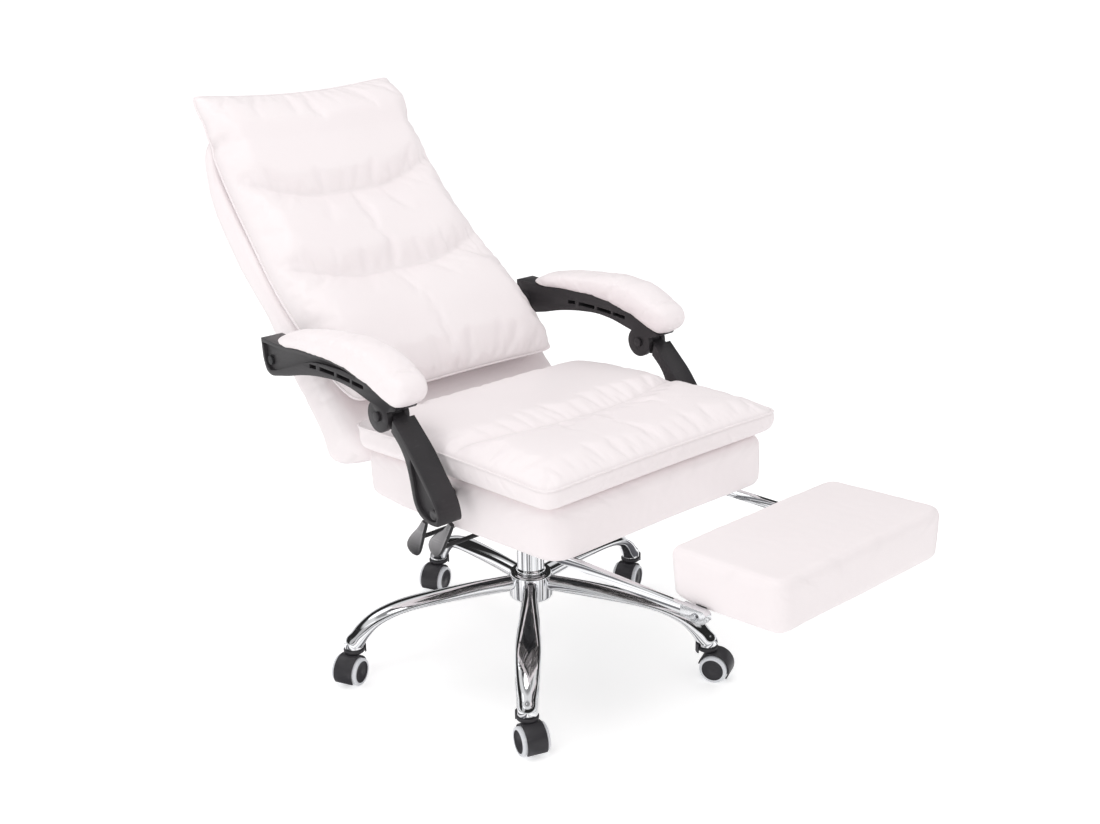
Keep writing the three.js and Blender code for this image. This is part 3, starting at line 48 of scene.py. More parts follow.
# Levels, tilts and pivots shared with the solids, in metres and degrees
SEAT_TILT, SEAT_LEVEL = 3.5, 0.358
BACK_PIVOT, BACK_LEAN = Vector((-0.19, 0, 0.42)), 45.75
FOOTREST_PIVOT, FOOTREST_TILT = Vector((0.5875, 0, 0.3605)), 3.7
LEVER_TIP_LEVEL, LEVER_NECK_LEVEL = 0.284, 0.335

# Casters and star base
LEG_COUNT, FIRST_LEG_HEADING, STEM_CIRCLE = 5, 29.4, 0.335
CASTER_HEADINGS = (25, -66, -66, -66, -19)
WHEEL_RADIUS, TREAD_WIDTH, WEB_THICKNESS, CASTER_TRAIL = 0.025, 0.020, 0.008, 0.017
FENDER_INNER, FENDER_THICKNESS, FENDER_WIDTH, WEB_INNER = 0.0265, 0.0026, 0.036, 0.006
LEG_ROOT_LEVEL, LEG_END_LEVEL = 0.143, 0.0638
LEG_WIDTH, LEG_ROOT_DEPTH = 0.044, 0.029

# Where each body frame stands: a matrix from the level drawing to the chair
SEAT_FRAME = Matrix.Translation((0, 0, SEAT_LEVEL)) @ Matrix.Rotation(-math.radians(SEAT_TILT), 4, "Y")
BACK_FRAME = Matrix.Translation(BACK_PIVOT) @ Matrix.Rotation(-math.radians(BACK_LEAN), 4, "Y")
FOOTREST_FRAME = (Matrix.Translation(FOOTREST_PIVOT)
                  @ Matrix.Rotation(-math.radians(FOOTREST_TILT), 4, "Y"))


# Shader parts

def socketed_group(name, inputs, outputs):
    group = bpy.data.node_groups.new(name, "ShaderNodeTree")
    for label, kind, default in inputs:
        socket = group.interface.new_socket(label, in_out="INPUT", socket_type=kind)
        socket.default_value = default
    for label, kind in outputs:
        group.interface.new_socket(label, in_out="OUTPUT", socket_type=kind)
    return group, group.nodes.new("NodeGroupInput"), group.nodes.new("NodeGroupOutput")


def noise_node(tree, vector, scale, detail=3.0, roughness=0.5):
    node = tree.nodes.new("ShaderNodeTexNoise")
    node.inputs["Detail"].default_value = detail
    node.inputs["Roughness"].default_value = roughness
    tree.links.new(vector, node.inputs["Vector"])
    if isinstance(scale, float):
        node.inputs["Scale"].default_value = scale
    else:
        tree.links.new(scale, node.inputs["Scale"])
    return node


def math_node(tree, operation, first, second):
    node = tree.nodes.new("ShaderNodeMath")
    node.operation = operation
    for socket, value in zip(node.inputs, (first, second)):
        if isinstance(value, (int, float)):
            socket.default_value = value
        else:
            tree.links.new(value, socket)
    return node.outputs[0]


def mottle_group():
    """Slow drifts of tone over a surface, from 0 to 1."""
    group, entry, leave = socketed_group(
        "soft_mottle",
        [("Vector", "NodeSocketVector", (0, 0, 0)), ("Scale", "NodeSocketFloat", 8.0),
         ("Contrast", "NodeSocketFloat", 1.6)],
        [("Mask", "NodeSocketFloat")])
    cloud = noise_node(group, entry.outputs["Vector"], entry.outputs["Scale"], 4.0)
    centred = math_node(group, "SUBTRACT", cloud.outputs["Fac"], 0.5)
    spread = math_node(group, "MULTIPLY", centred, entry.outputs["Contrast"])
    shifted = math_node(group, "ADD", spread, 0.5)
    clamp = group.nodes.new("ShaderNodeClamp")
    group.links.new(shifted, clamp.inputs[0])
    group.links.new(clamp.outputs[0], leave.inputs["Mask"])
    return group


def hide_group():
    """Height of a fine pebbled hide: cells with soft creases between them, and pores."""
    group, entry, leave = socketed_group(
        "hide_grain",
        [("Vector", "NodeSocketVector", (0, 0, 0)), ("Scale", "NodeSocketFloat", 520.0)],
        [("Height", "NodeSocketFloat")])
    warp = noise_node(group, entry.outputs["Vector"], 90.0, 2.0)
    shift = group.nodes.new("ShaderNodeVectorMath")
    shift.operation = "MULTIPLY_ADD"
    group.links.new(warp.outputs["Color"], shift.inputs[0])
    shift.inputs[1].default_value = (0.004, 0.004, 0.004)
    group.links.new(entry.outputs["Vector"], shift.inputs[2])
    cells = group.nodes.new("ShaderNodeTexVoronoi")
    cells.feature = "SMOOTH_F1"
    cells.inputs["Smoothness"].default_value = 0.35
    group.links.new(shift.outputs[0], cells.inputs["Vector"])
    group.links.new(entry.outputs["Scale"], cells.inputs["Scale"])
    pores = noise_node(group, entry.outputs["Vector"], 1500.0, 2.0)
    fine = math_node(group, "MULTIPLY", pores.outputs["Fac"], 0.35)
    domes = math_node(group, "SUBTRACT", 1.0, cells.outputs["Distance"])
    total = math_node(group, "ADD", domes, fine)
    group.links.new(total, leave.inputs["Height"])
    return group


def scuff_group():
    """Thin stray scratches, as a mask."""
    group, entry, leave = socketed_group(
        "hairline_scuffs",
        [("Vector", "NodeSocketVector", (0, 0, 0)), ("Scale", "NodeSocketFloat", 60.0)],
        [("Mask", "NodeSocketFloat")])
    stretch = group.nodes.new("ShaderNodeMapping")
    stretch.inputs["Rotation"].default_value = (0.4, 0.9, 0.2)
    stretch.inputs["Scale"].default_value = (0.15, 1.0, 6.0)
    group.links.new(entry.outputs["Vector"], stretch.inputs["Vector"])
    lines = noise_node(group, stretch.outputs["Vector"], entry.outputs["Scale"], 3.0)
    ramp = group.nodes.new("ShaderNodeMapRange")
    ramp.inputs["From Min"].default_value = 0.6
    ramp.inputs["From Max"].default_value = 0.72
    group.links.new(lines.outputs["Fac"], ramp.inputs["Value"])
    group.links.new(ramp.outputs["Result"], leave.inputs["Mask"])
    return group


MOTTLE, HIDE, SCUFFS = mottle_group(), hide_group(), scuff_group()


def placed(tree, group, vector, **values):
    node = tree.nodes.new("ShaderNodeGroup")
    node.node_tree = group
    tree.links.new(vector, node.inputs["Vector"])
    for label, value in values.items():
        node.inputs[label].default_value = value
    return node.outputs[0]


def blended(tree, mask, low, high):
    """A colour between two, by a mask."""
    mix = tree.nodes.new("ShaderNodeMix")
    mix.data_type = "RGBA"
    tree.links.new(mask, mix.inputs["Factor"])
    for label, colour in (("A", low), ("B", high)):
        socket = [s for s in mix.inputs if s.name == label and s.type == "RGBA"][0]
        if isinstance(colour, tuple):
            socket.default_value = (*colour, 1)
        else:
            tree.links.new(colour, socket)
    return [s for s in mix.outputs if s.type == "RGBA"][0]


def ranged(tree, value, low, high):
    node = tree.nodes.new("ShaderNodeMapRange")
    node.inputs["To Min"].default_value = low
    node.inputs["To Max"].default_value = high
    tree.links.new(value, node.inputs["Value"])
    return node.outputs["Result"]


def blank(name):
    material = bpy.data.materials.new(name)
    material.use_nodes = True
    tree = material.node_tree
    shader = tree.nodes["Principled BSDF"]
    place = tree.nodes.new("ShaderNodeTexCoord").outputs["Object"]
    return material, tree, shader, place


def bumped(tree, shader, height, distance, strength=1.0):
    bump = tree.nodes.new("ShaderNodeBump")
    bump.inputs["Distance"].default_value = distance
    bump.inputs["Strength"].default_value = strength
    tree.links.new(height, bump.inputs["Height"])
    tree.links.new(bump.outputs["Normal"], shader.inputs["Normal"])


def leather(name, tone, shade, roughness):
    """Coated white hide: warm drifts, painted shade in its creases, folds and seams, and a fine pebble
    grain.
    """
    material, tree, shader, place = blank(name)
    drift = placed(tree, MOTTLE, place, Scale=5.0, Contrast=1.8)
    # Painted shade: a mark kept on each cover darkens the colour in its creases, folds and seams.
    crease_shade = tree.nodes.new("ShaderNodeAttribute")
    crease_shade.attribute_name = "crease_shade"
    base = blended(tree, drift, tone, shade)
    crease_shade_tone = tuple(0.78 * channel for channel in shade)
    colour = blended(tree, crease_shade.outputs["Fac"], base, crease_shade_tone)
    tree.links.new(colour, shader.inputs["Base Color"])
    tree.links.new(ranged(tree, drift, roughness - 0.05, roughness + 0.06), shader.inputs["Roughness"])
    shader.inputs["Specular IOR Level"].default_value = 0.42
    bumped(tree, shader, placed(tree, HIDE, place, Scale=520.0), 0.00022, 0.55)
    return material


def polished(name, low, high, roughness, scuffed):
    """Plated or bright metal with faint haze and hairlines."""
    material, tree, shader, place = blank(name)
    haze = placed(tree, MOTTLE, place, Scale=14.0, Contrast=1.5)
    lines = placed(tree, SCUFFS, place, Scale=70.0)
    tree.links.new(blended(tree, haze, low, high), shader.inputs["Base Color"])
    shader.inputs["Metallic"].default_value = 1.0
    worn = math_node(tree, "MULTIPLY", lines, scuffed)
    soft = ranged(tree, haze, roughness, roughness * 1.6)
    tree.links.new(math_node(tree, "ADD", soft, worn), shader.inputs["Roughness"])
    return material


def moulded(name, low, high, roughness, grain, metallic=0.0):
    """Moulded plastic or powder paint with a fine sparkle grain and rubbed spots."""
    material, tree, shader, place = blank(name)
    drift = placed(tree, MOTTLE, place, Scale=18.0, Contrast=1.4)
    lines = placed(tree, SCUFFS, place, Scale=55.0)
    base = blended(tree, drift, low, high)
    pale = tuple(min(1.0, channel * 1.5 + 0.01) for channel in high)
    tree.links.new(blended(tree, math_node(tree, "MULTIPLY", lines, 0.25), base, pale),
                   shader.inputs["Base Color"])
    tree.links.new(ranged(tree, drift, roughness - 0.06, roughness + 0.06), shader.inputs["Roughness"])
    shader.inputs["Metallic"].default_value = metallic
    shader.inputs["Specular IOR Level"].default_value = 0.34
    bumped(tree, shader, noise_node(tree, place, 1400.0, 2.0).outputs["Fac"], grain, 0.5)
    return material


def lever_satin():
    """Satin grey that darkens from a lever's neck to nearly black at its tip."""
    material = moulded("lever_satin", (0.22, 0.215, 0.22), (0.34, 0.33, 0.34), 0.3, 0.00005, 0.35)
    tree = material.node_tree
    shader = tree.nodes["Principled BSDF"]
    paint = shader.inputs["Base Color"].links[0].from_socket
    split = tree.nodes.new("ShaderNodeSeparateXYZ")
    tree.links.new(tree.nodes["Texture Coordinate"].outputs["Object"], split.inputs[0])
    fade = tree.nodes.new("ShaderNodeMapRange")
    fade.interpolation_type = "SMOOTHSTEP"
    fade.inputs["From Min"].default_value = LEVER_TIP_LEVEL
    fade.inputs["From Max"].default_value = LEVER_NECK_LEVEL
    tree.links.new(split.outputs["Z"], fade.inputs["Value"])
    tree.links.new(blended(tree, fade.outputs["Result"], (0.035, 0.034, 0.036), paint),
                   shader.inputs["Base Color"])
    return material


def timber(name):
    """Plywood nearly black, with stretched grain: the plated legs mirror it."""
    material, tree, shader, place = blank(name)
    turn = tree.nodes.new("ShaderNodeMapping")
    turn.inputs["Scale"].default_value = (3.0, 40.0, 40.0)
    tree.links.new(place, turn.inputs["Vector"])
    streaks = noise_node(tree, turn.outputs["Vector"], 6.0, 5.0)
    tree.links.new(blended(tree, streaks.outputs["Fac"], (0.018, 0.016, 0.015), (0.05, 0.045, 0.042)),
                   shader.inputs["Base Color"])
    shader.inputs["Roughness"].default_value = 0.65
    bumped(tree, shader, streaks.outputs["Fac"], 0.0003, 0.6)
    return material


WHITE_LEATHER = leather("white_coated_leather", (0.935, 0.872, 0.880), (0.910, 0.842, 0.852), 0.44)
CHROME = polished("mirror_chrome", (0.80, 0.81, 0.83), (0.90, 0.905, 0.92), 0.05, 0.08)
BRIGHT_STEEL = polished("bright_steel", (0.55, 0.56, 0.58), (0.68, 0.69, 0.71), 0.2, 0.12)
SATIN_ZINC = polished("satin_zinc", (0.78, 0.79, 0.81), (0.88, 0.885, 0.90), 0.18, 0.1)
CHARCOAL = moulded("charcoal_nylon", (0.027, 0.0245, 0.027), (0.040, 0.037, 0.040), 0.38, 0.00012)
HOOD_NYLON = moulded("hood_nylon", (0.030, 0.029, 0.033), (0.045, 0.043, 0.048), 0.38, 0.00012)
TREAD_GREY = moulded("grey_tread", (0.66, 0.67, 0.70), (0.76, 0.77, 0.80), 0.5, 0.00010)
LEVER_SATIN = lever_satin()
BLACK_PAINT = moulded("black_powder_paint", (0.018, 0.018, 0.020), (0.032, 0.032, 0.034), 0.45, 0.00015)
PLYWOOD = timber("plywood")
FINISH = {
    "chrome": CHROME, "bright_steel": BRIGHT_STEEL, "black_steel": BLACK_PAINT,
    "satin_zinc": SATIN_ZINC, "charcoal_nylon": CHARCOAL, "grey_tread": TREAD_GREY,
    "white_leather": WHITE_LEATHER, "plywood": PLYWOOD,
}
SLOT_OF = {row["node"]: row["material_slot"] for row in frame["record"]["subparts"]}
BODY_OF = {node: body for body, nodes in frame["record"]["behaviour"]["bodies"].items()
           for node in nodes}


# Mesh helpers

def finished(name, bm, body, materials, replaced=(), crisp=40, outward=True):
    """A bmesh made into a piece that rides on a body and takes a slot's finish."""
    if outward:
        bmesh.ops.recalc_face_normals(bm, faces=bm.faces)
    for face in bm.faces:
        face.smooth = True
    for edge in bm.edges:
        edge.smooth = edge.calc_face_angle(0) < math.radians(crisp)
    mesh = bpy.data.meshes.new(name)
    bm.to_mesh(mesh)
    bm.free()
    piece = bpy.data.objects.new(name, mesh)
    bpy.context.scene.collection.objects.link(piece)
    for material in materials:
        mesh.materials.append(material)
    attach(piece, body)
    if replaced:
        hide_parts(*replaced)
    return piece


def merged_copy(node):
    """A CAD node's own surface as a bmesh of joined faces."""
    bm = bmesh.new()
    bm.from_mesh(frame["nodes"][node].data)
    bmesh.ops.remove_doubles(bm, verts=bm.verts, dist=0.02 * MM)
    return bm


def rounded_copy(node, width, segments=2, steep=28):
    """The node's surface with its sharp edges broken by a small round."""
    bm = merged_copy(node)
    bmesh.ops.dissolve_limit(bm, angle_limit=math.radians(1.5), verts=bm.verts, edges=bm.edges)
    sharp = [edge for edge in bm.edges
             if len(edge.link_faces) == 2 and edge.calc_face_angle(0) > math.radians(steep)]
    bmesh.ops.bevel(bm, geom=sharp, offset=width, offset_type="OFFSET", segments=segments,
                    profile=0.5, affect="EDGES", clamp_overlap=True, material=-1)
    return bm


def rounded_piece(node, width, segments=2, finish=None, crisp=32):
    slot = SLOT_OF[node]
    return finished(f"{node}_finished", rounded_copy(node, width, segments), BODY_OF[node],
                    [finish or FINISH[slot]], [node], crisp, outward=False)


def lathe(bm, profile, steps=48, place=Matrix.Identity(4)):
    """A profile of radius and height spun about Z, then put in place."""
    points = [bm.verts.new((radius, 0, height)) for radius, height in profile]
    edges = [bm.edges.new(pair) for pair in zip(points, points[1:])]
    bmesh.ops.spin(bm, geom=points + edges, cent=(0, 0, 0), axis=(0, 0, 1),
                   angle=2 * math.pi, steps=steps, use_merge=True)
    corners = set(points)
    frontier = list(points)
    while frontier:
        corner = frontier.pop()
        for edge in corner.link_edges:
            other = edge.other_vert(corner)
            if other not in corners:
                corners.add(other)
                frontier.append(other)
    bmesh.ops.remove_doubles(bm, verts=list(corners), dist=0.005 * MM)
    corners = [corner for corner in corners if corner.is_valid]
    bmesh.ops.transform(bm, matrix=place, verts=corners)
    return corners


def arc_wall(bm, place, inner, outer, half_width, start, end, steps=24):
    """A curved wall of rectangular section spun about Z between two angles, ends closed."""
    corners = [bm.verts.new(Vector((radius * math.cos(start), radius * math.sin(start), side)))
               for radius, side in ((inner, -half_width), (outer, -half_width),
                                    (outer, half_width), (inner, half_width))]
    loop = [bm.edges.new((corners[k], corners[(k + 1) % 4])) for k in range(4)]
    made = bmesh.ops.spin(bm, geom=corners + loop, cent=(0, 0, 0), axis=(0, 0, 1),
                          angle=end - start, steps=steps, use_merge=False)
    last = [item for item in made["geom_last"] if isinstance(item, bmesh.types.BMEdge)]
    bmesh.ops.contextual_create(bm, geom=loop)
    bmesh.ops.contextual_create(bm, geom=last)
    reached = set(corners)
    frontier = list(corners)
    while frontier:
        corner = frontier.pop()
        for edge in corner.link_edges:
            other = edge.other_vert(corner)
            if other not in reached:
                reached.add(other)
                frontier.append(other)
    bmesh.ops.transform(bm, matrix=place, verts=list(reached))
    rims = [edge for edge in bm.edges if edge.verts[0] in reached
            and len(edge.link_faces) == 2 and edge.calc_face_angle(0) > math.radians(40)]
    bmesh.ops.bevel(bm, geom=rims, offset=0.5 * MM, offset_type="OFFSET", segments=2,
                    profile=0.5, affect="EDGES", clamp_overlap=True, material=-1)


def tube(bm, rings, segments=24, caps=True, ring_closed=False, square=1.0):
    """Rings, each given by a matrix, joined into a tube; a low square share flattens the sides."""
    loops = []
    for ring in rings:
        circle = bmesh.ops.create_circle(bm, cap_ends=False, radius=1.0, segments=segments)
        corners = circle["verts"]
        for corner in corners:
            corner.co.x = math.copysign(abs(corner.co.x) ** square, corner.co.x)
            corner.co.y = math.copysign(abs(corner.co.y) ** square, corner.co.y)
        bmesh.ops.transform(bm, matrix=ring, verts=corners)
        loops.append(list({edge for corner in corners for edge in corner.link_edges}))
    for behind, ahead in zip(loops, loops[1:]):
        bmesh.ops.bridge_loops(bm, edges=behind + ahead)
    if ring_closed:
        bmesh.ops.bridge_loops(bm, edges=loops[-1] + loops[0])
    elif caps:
        bmesh.ops.contextual_create(bm, geom=loops[0])
        bmesh.ops.contextual_create(bm, geom=loops[-1])


def smoothed_rows(rows, count):
    """Rows of a table read off a smooth curve through them."""
    rows = np.array(rows, float)
    last = len(rows) - 1
    out = []
    for place in np.linspace(0, last, count):
        k = min(int(place), last - 1)
        t = place - k
        p0, p1, p2, p3 = rows[max(k - 1, 0)], rows[k], rows[k + 1], rows[min(k + 2, last)]
        out.append(0.5 * (2 * p1 + (p2 - p0) * t + (2 * p0 - 5 * p1 + 4 * p2 - p3) * t * t
                          + (3 * p1 - p0 - 3 * p2 + p3) * t ** 3))
    return np.array(out)


def reading(table, place):
    columns = np.array(table, float)
    return np.interp(place, columns[:, 0], columns[:, 1])


# Base and casters: leg rows hold shares of reach, level, width and depth

LEG_ROWS = [
    (0.10, 1.00, 0.64, 1.00), (0.313, 0.97, 0.72, 0.97), (0.495, 0.93, 0.88, 0.82),
    (0.666, 0.87, 1.00, 0.70), (0.782, 0.77, 1.00, 0.72), (0.873, 0.61, 0.95, 0.82),
    (0.938, 0.39, 0.89, 0.98), (0.980, 0.17, 0.82, 1.12), (1.00, 0.07, 0.795, 1.207),
    (1.00, 0.00, 0.795, 1.207),
]
LEG_STEPS, LEG_SIDES, LEG_TURN_STEPS = 37, 28, 7

# Turned pieces: radius and height along their axis, in metres
HUB_PROFILE = [
    (0.0255, 0.113), (0.037, 0.113), (0.0395, 0.1155), (0.040, 0.118), (0.040, 0.157),
    (0.0395, 0.1605), (0.037, 0.163), (0.0262, 0.163), (0.0255, 0.1622), (0.0255, 0.113),
]
COLUMN_PROFILE = [
    (0.0, 0.1045), (0.0215, 0.1045), (0.023, 0.106), (0.025, 0.1635), (0.0278, 0.1635),
    (0.028, 0.1645), (0.028, 0.1672), (0.0272, 0.1688), (0.0256, 0.1708), (0.025, 0.1722),
    (0.025, 0.2812), (0.0243, 0.2826), (0.0232, 0.283), (0.0146, 0.283), (0.0146, 0.2815),
    (0.0146, 0.15), (0.0, 0.15),
]
HOOD_CAP_PROFILE = [
    (0.0, 0.0535), (0.0165, 0.0535), (0.0188, 0.0555), (0.0192, 0.0575), (0.0192, 0.0598),
    (0.0182, 0.0614), (0.0168, 0.062), (0.0062, 0.062), (0.0058, 0.0615), (0.0058, 0.056),
    (0.0, 0.056),
]
HUB_STEPS, COLUMN_STEPS, CAP_STEPS, WHEEL_STEPS, WALL_STEPS = 72, 64, 40, 56, 36

# Caster hood: turns in degrees round its axle, and the upright tab on its cap
FENDER_START, WEB_START, FENDER_END = -34, -30, 170
TAB_INNER, TAB_OUTER, TAB_HALF, TAB_LEVEL = 0.019, 0.0216, 0.0085, 0.0585
TAB_START, TAB_END, TAB_STEPS = 125, 235, 20
WHEEL_GAP, DISC_RADIUS, BOSS_RADIUS, AXLE_BORE = 0.4 * MM, 0.0198, 0.006, 0.0035


def star_base():
    bm = bmesh.new()
    rows = smoothed_rows(LEG_ROWS, LEG_STEPS)
    fall = LEG_ROOT_LEVEL - LEG_END_LEVEL
    for index in range(LEG_COUNT):
        heading = math.radians(FIRST_LEG_HEADING + index * 360 / LEG_COUNT)
        out = Vector((math.cos(heading), math.sin(heading), 0))
        side = Vector((-math.sin(heading), math.cos(heading), 0))
        spots = [out * (reach * STEM_CIRCLE) + AXIS["z"] * (LEG_END_LEVEL + level * fall)
                 for reach, level, _, _ in rows]
        rings = []
        for k, (_, _, width, depth) in enumerate(rows):
            way = (spots[min(k + 1, len(spots) - 1)] - spots[max(k - 1, 0)]).normalized()
            turned = min(1.0, max(0.0, (k - len(spots) + 2 + LEG_TURN_STEPS) / LEG_TURN_STEPS))
            way = way.lerp(-AXIS["z"], turned * turned).normalized()
            up = side.cross(way) * -1
            ring = Matrix.Identity(4)
            ring.col[0][:3] = side * (width * LEG_WIDTH / 2)
            ring.col[1][:3] = up * (depth * LEG_ROOT_DEPTH / 2)
            ring.col[2][:3] = way
            ring.col[3][:3] = spots[k]
            rings.append(ring)
        tube(bm, rings, LEG_SIDES)
    lathe(bm, HUB_PROFILE, HUB_STEPS)
    finished("star_base_polished", bm, "base", [CHROME], ["star_base"], 45)


def gas_lift():
    bm = bmesh.new()
    lathe(bm, COLUMN_PROFILE, COLUMN_STEPS)
    finished("gas_lift_column_polished", bm, "base", [CHROME], ["gas_lift_column"], 40)


def caster_frame(index):
    heading = math.radians(FIRST_LEG_HEADING + index * 360 / LEG_COUNT)
    stem = Vector((STEM_CIRCLE * math.cos(heading), STEM_CIRCLE * math.sin(heading), 0))
    return Matrix.Translation(stem) @ Matrix.Rotation(math.radians(CASTER_HEADINGS[index]), 4, "Z")


def caster_hood(index):
    bm = bmesh.new()
    own = caster_frame(index)
    axle = own @ Matrix.Translation((CASTER_TRAIL, 0, WHEEL_RADIUS)) @ Matrix.Rotation(math.pi / 2, 4, "X")
    start, end = math.radians(FENDER_START), math.radians(FENDER_END)
    arc_wall(bm, axle, FENDER_INNER, FENDER_INNER + FENDER_THICKNESS, FENDER_WIDTH / 2,
             start, end, WALL_STEPS)
    arc_wall(bm, axle, WEB_INNER, FENDER_INNER + 1.0 * MM, WEB_THICKNESS / 2,
             math.radians(WEB_START), end, WALL_STEPS)
    arc_wall(bm, own @ Matrix.Translation((0, 0, TAB_LEVEL)), TAB_INNER, TAB_OUTER, TAB_HALF,
             math.radians(TAB_START), math.radians(TAB_END), TAB_STEPS)
    lathe(bm, HOOD_CAP_PROFILE, CAP_STEPS, own)
    finished(f"caster_hood_shell_{index + 1}", bm, f"caster_{index + 1}",
             [HOOD_NYLON], [f"caster_hood_{index + 1}"], 45)


def caster_wheel(index, label, side):
    """A tread ring round a dark dished disc."""
    bm = bmesh.new()
    inner = WEB_THICKNESS / 2 + WHEEL_GAP
    outer, disc = inner + TREAD_WIDTH, DISC_RADIUS
    profile = [(0.0, outer - 1.1 * MM), (BOSS_RADIUS, outer - 1.1 * MM),
               (BOSS_RADIUS + 0.8 * MM, outer - 1.6 * MM),
               (disc - 1.2 * MM, outer - 1.6 * MM), (disc - 0.3 * MM, outer - 0.9 * MM),
               (disc, outer - 0.15 * MM), (disc + 0.4 * MM, outer), (WHEEL_RADIUS - 1.8 * MM, outer),
               (WHEEL_RADIUS - 0.7 * MM, outer - 0.5 * MM), (WHEEL_RADIUS, outer - 1.9 * MM),
               (WHEEL_RADIUS, inner + 1.0 * MM), (WHEEL_RADIUS - 1.0 * MM, inner), (AXLE_BORE, inner),
               (0.0, inner)]
    place = (caster_frame(index) @ Matrix.Translation((CASTER_TRAIL, 0, WHEEL_RADIUS))
             @ Matrix.Rotation(-side * math.pi / 2, 4, "X"))
    lathe(bm, profile, WHEEL_STEPS, place)
    back = place.inverted()
    for face in bm.faces:
        spot = back @ face.calc_center_median()
        dark = math.hypot(spot.x, spot.y) < disc + 0.1 * MM and spot.z > inner + 2 * MM
        face.material_index = 1 if dark else 0
    finished(f"caster_wheel_tyred_{label}_{index + 1}", bm, f"wheel_{label}_{index + 1}",
             [TREAD_GREY, HOOD_NYLON], [f"caster_wheel_{label}_{index + 1}"], 50)


# Upholstery: each cover is two sheets of even cells that meet at a seam

def eased(table, place):
    """A table read off a smooth curve through its rows."""
    rows = np.array(table, float)
    at, value = rows[:, 0], rows[:, 1]
    slope = np.gradient(value, at)
    k = np.clip(np.searchsorted(at, place) - 1, 0, len(at) - 2)
    span = at[k + 1] - at[k]
    t = np.clip((place - at[k]) / span, 0, 1)
    lead = (t ** 3 - 2 * t ** 2 + t) * slope[k] + (t ** 3 - t ** 2) * slope[k + 1]
    ease = 3 * t ** 2 - 2 * t ** 3
    return value[k] * (1 - ease) + value[k + 1] * ease + span * lead


def bell(distance, width):
    return np.exp(-(distance / width) ** 2)


def bulging(share, power):
    """How full a stuffed cover is between two seams, from 0 at one to 1 and back."""
    return np.maximum(0, 1 - np.abs(2 * share - 1) ** power) ** 0.6


def stuffed(name, cells, own, upper, lower):
    """Two sheets joined at their rims; each point remembers its place on the sheet."""
    bm = bmesh.new()
    marks = [bm.verts.layers.float.new(label) for label in ("along", "across", "face")]
    for side, shape in ((1.0, upper), (-1.0, lower)):
        sheet = bmesh.ops.create_grid(bm, x_segments=cells[0], y_segments=cells[1], size=1.0)["verts"]
        a = np.array([vert.co.x for vert in sheet])
        b = np.array([vert.co.y for vert in sheet])
        places = np.stack(shape(a, b), axis=1)
        for vert, along, across, place in zip(sheet, a, b, places):
            rim = vert.is_boundary
            vert[marks[0]], vert[marks[1]] = along, across
            vert[marks[2]] = 0.0 if rim else side
            vert.co = own @ Vector(place)
    for edge in bm.edges:
        edge.seam = edge.is_boundary
    bmesh.ops.remove_doubles(bm, verts=bm.verts, dist=0.02 * MM)
    bmesh.ops.recalc_face_normals(bm, faces=bm.faces)
    mesh = bpy.data.meshes.new(name)
    bm.to_mesh(mesh)
    bm.free()
    cover = bpy.data.objects.new(name, mesh)
    bpy.context.scene.collection.objects.link(cover)
    return cover


def marks_of(mesh):
    """Place along, place across and side of each point, as kept on the sheets."""
    out = []
    for label in ("along", "across", "face"):
        flat = np.zeros(len(mesh.vertices))
        mesh.attributes[label].data.foreach_get("value", flat)
        out.append(flat)
    return out


def baked(piece):
    """Modifiers applied to the mesh."""
    depsgraph = bpy.context.evaluated_depsgraph_get()
    mesh = bpy.data.meshes.new_from_object(piece.evaluated_get(depsgraph))
    piece.modifiers.clear()
    old = piece.data
    piece.data = mesh
    bpy.data.meshes.remove(old)


def corners_of(mesh):
    flat = np.zeros(len(mesh.vertices) * 3)
    mesh.vertices.foreach_get("co", flat)
    return flat.reshape(-1, 3)


def normals_of(mesh):
    flat = np.zeros(len(mesh.vertices) * 3)
    mesh.vertex_normals.foreach_get("vector", flat)
    return flat.reshape(-1, 3)


def set_corners(mesh, places):
    mesh.vertices.foreach_set("co", np.ascontiguousarray(places, float).ravel())
    mesh.update()


COVER_MASS, COVER_BENDING, FILLING_PRESSURE, SWELL_FRAMES = 0.35, 0.3, 4.0, 20


def swollen(cover, hold, cap, growth=0.02, stiffness=10.0):
    """The cover blown out by its filling: hold is how fast each point is held, from 0 to 1."""
    before = corners_of(cover.data)
    group = cover.vertex_groups.new(name="held")
    for level in range(1, 11):
        chosen = np.nonzero(np.round(np.clip(hold, 0, 1) * 10) == level)[0]
        group.add(chosen.tolist(), level / 10, "REPLACE")
    cloth = cover.modifiers.new("swell", "CLOTH")
    settings = cloth.settings
    settings.quality = 5
    settings.mass = COVER_MASS
    settings.tension_stiffness = settings.compression_stiffness = stiffness
    settings.shear_stiffness = stiffness / 2
    settings.bending_stiffness = COVER_BENDING
    settings.shrink_min = -growth
    settings.use_pressure = True
    settings.uniform_pressure_force = FILLING_PRESSURE
    settings.effector_weights.gravity = 0
    settings.vertex_group_mass = "held"
    cloth.collision_settings.use_collision = False
    cloth.point_cache.frame_start = 1
    cloth.point_cache.frame_end = SWELL_FRAMES
    scene = bpy.context.scene
    for step in range(1, SWELL_FRAMES + 1):
        scene.frame_set(step)
    depsgraph = bpy.context.evaluated_depsgraph_get()
    after = corners_of(cover.evaluated_get(depsgraph).data)
    cover.modifiers.clear()
    cover.vertex_groups.clear()
    scene.frame_set(1)
    move = after - before
    length = np.linalg.norm(move, axis=1)
    move *= (np.minimum(length, cap) / np.maximum(length, 1e-9))[:, None]
    set_corners(cover.data, before + move)


def doubled(cover):
    """One subdivision, applied."""
    finer = cover.modifiers.new("finer", "SUBSURF")
    finer.levels = finer.render_levels = 1
    baked(cover)


def billow(places, scale, seed):
    """Slow swells between -1 and 1."""
    return np.array([noise.noise(Vector(spot)) for spot in places * scale + seed])


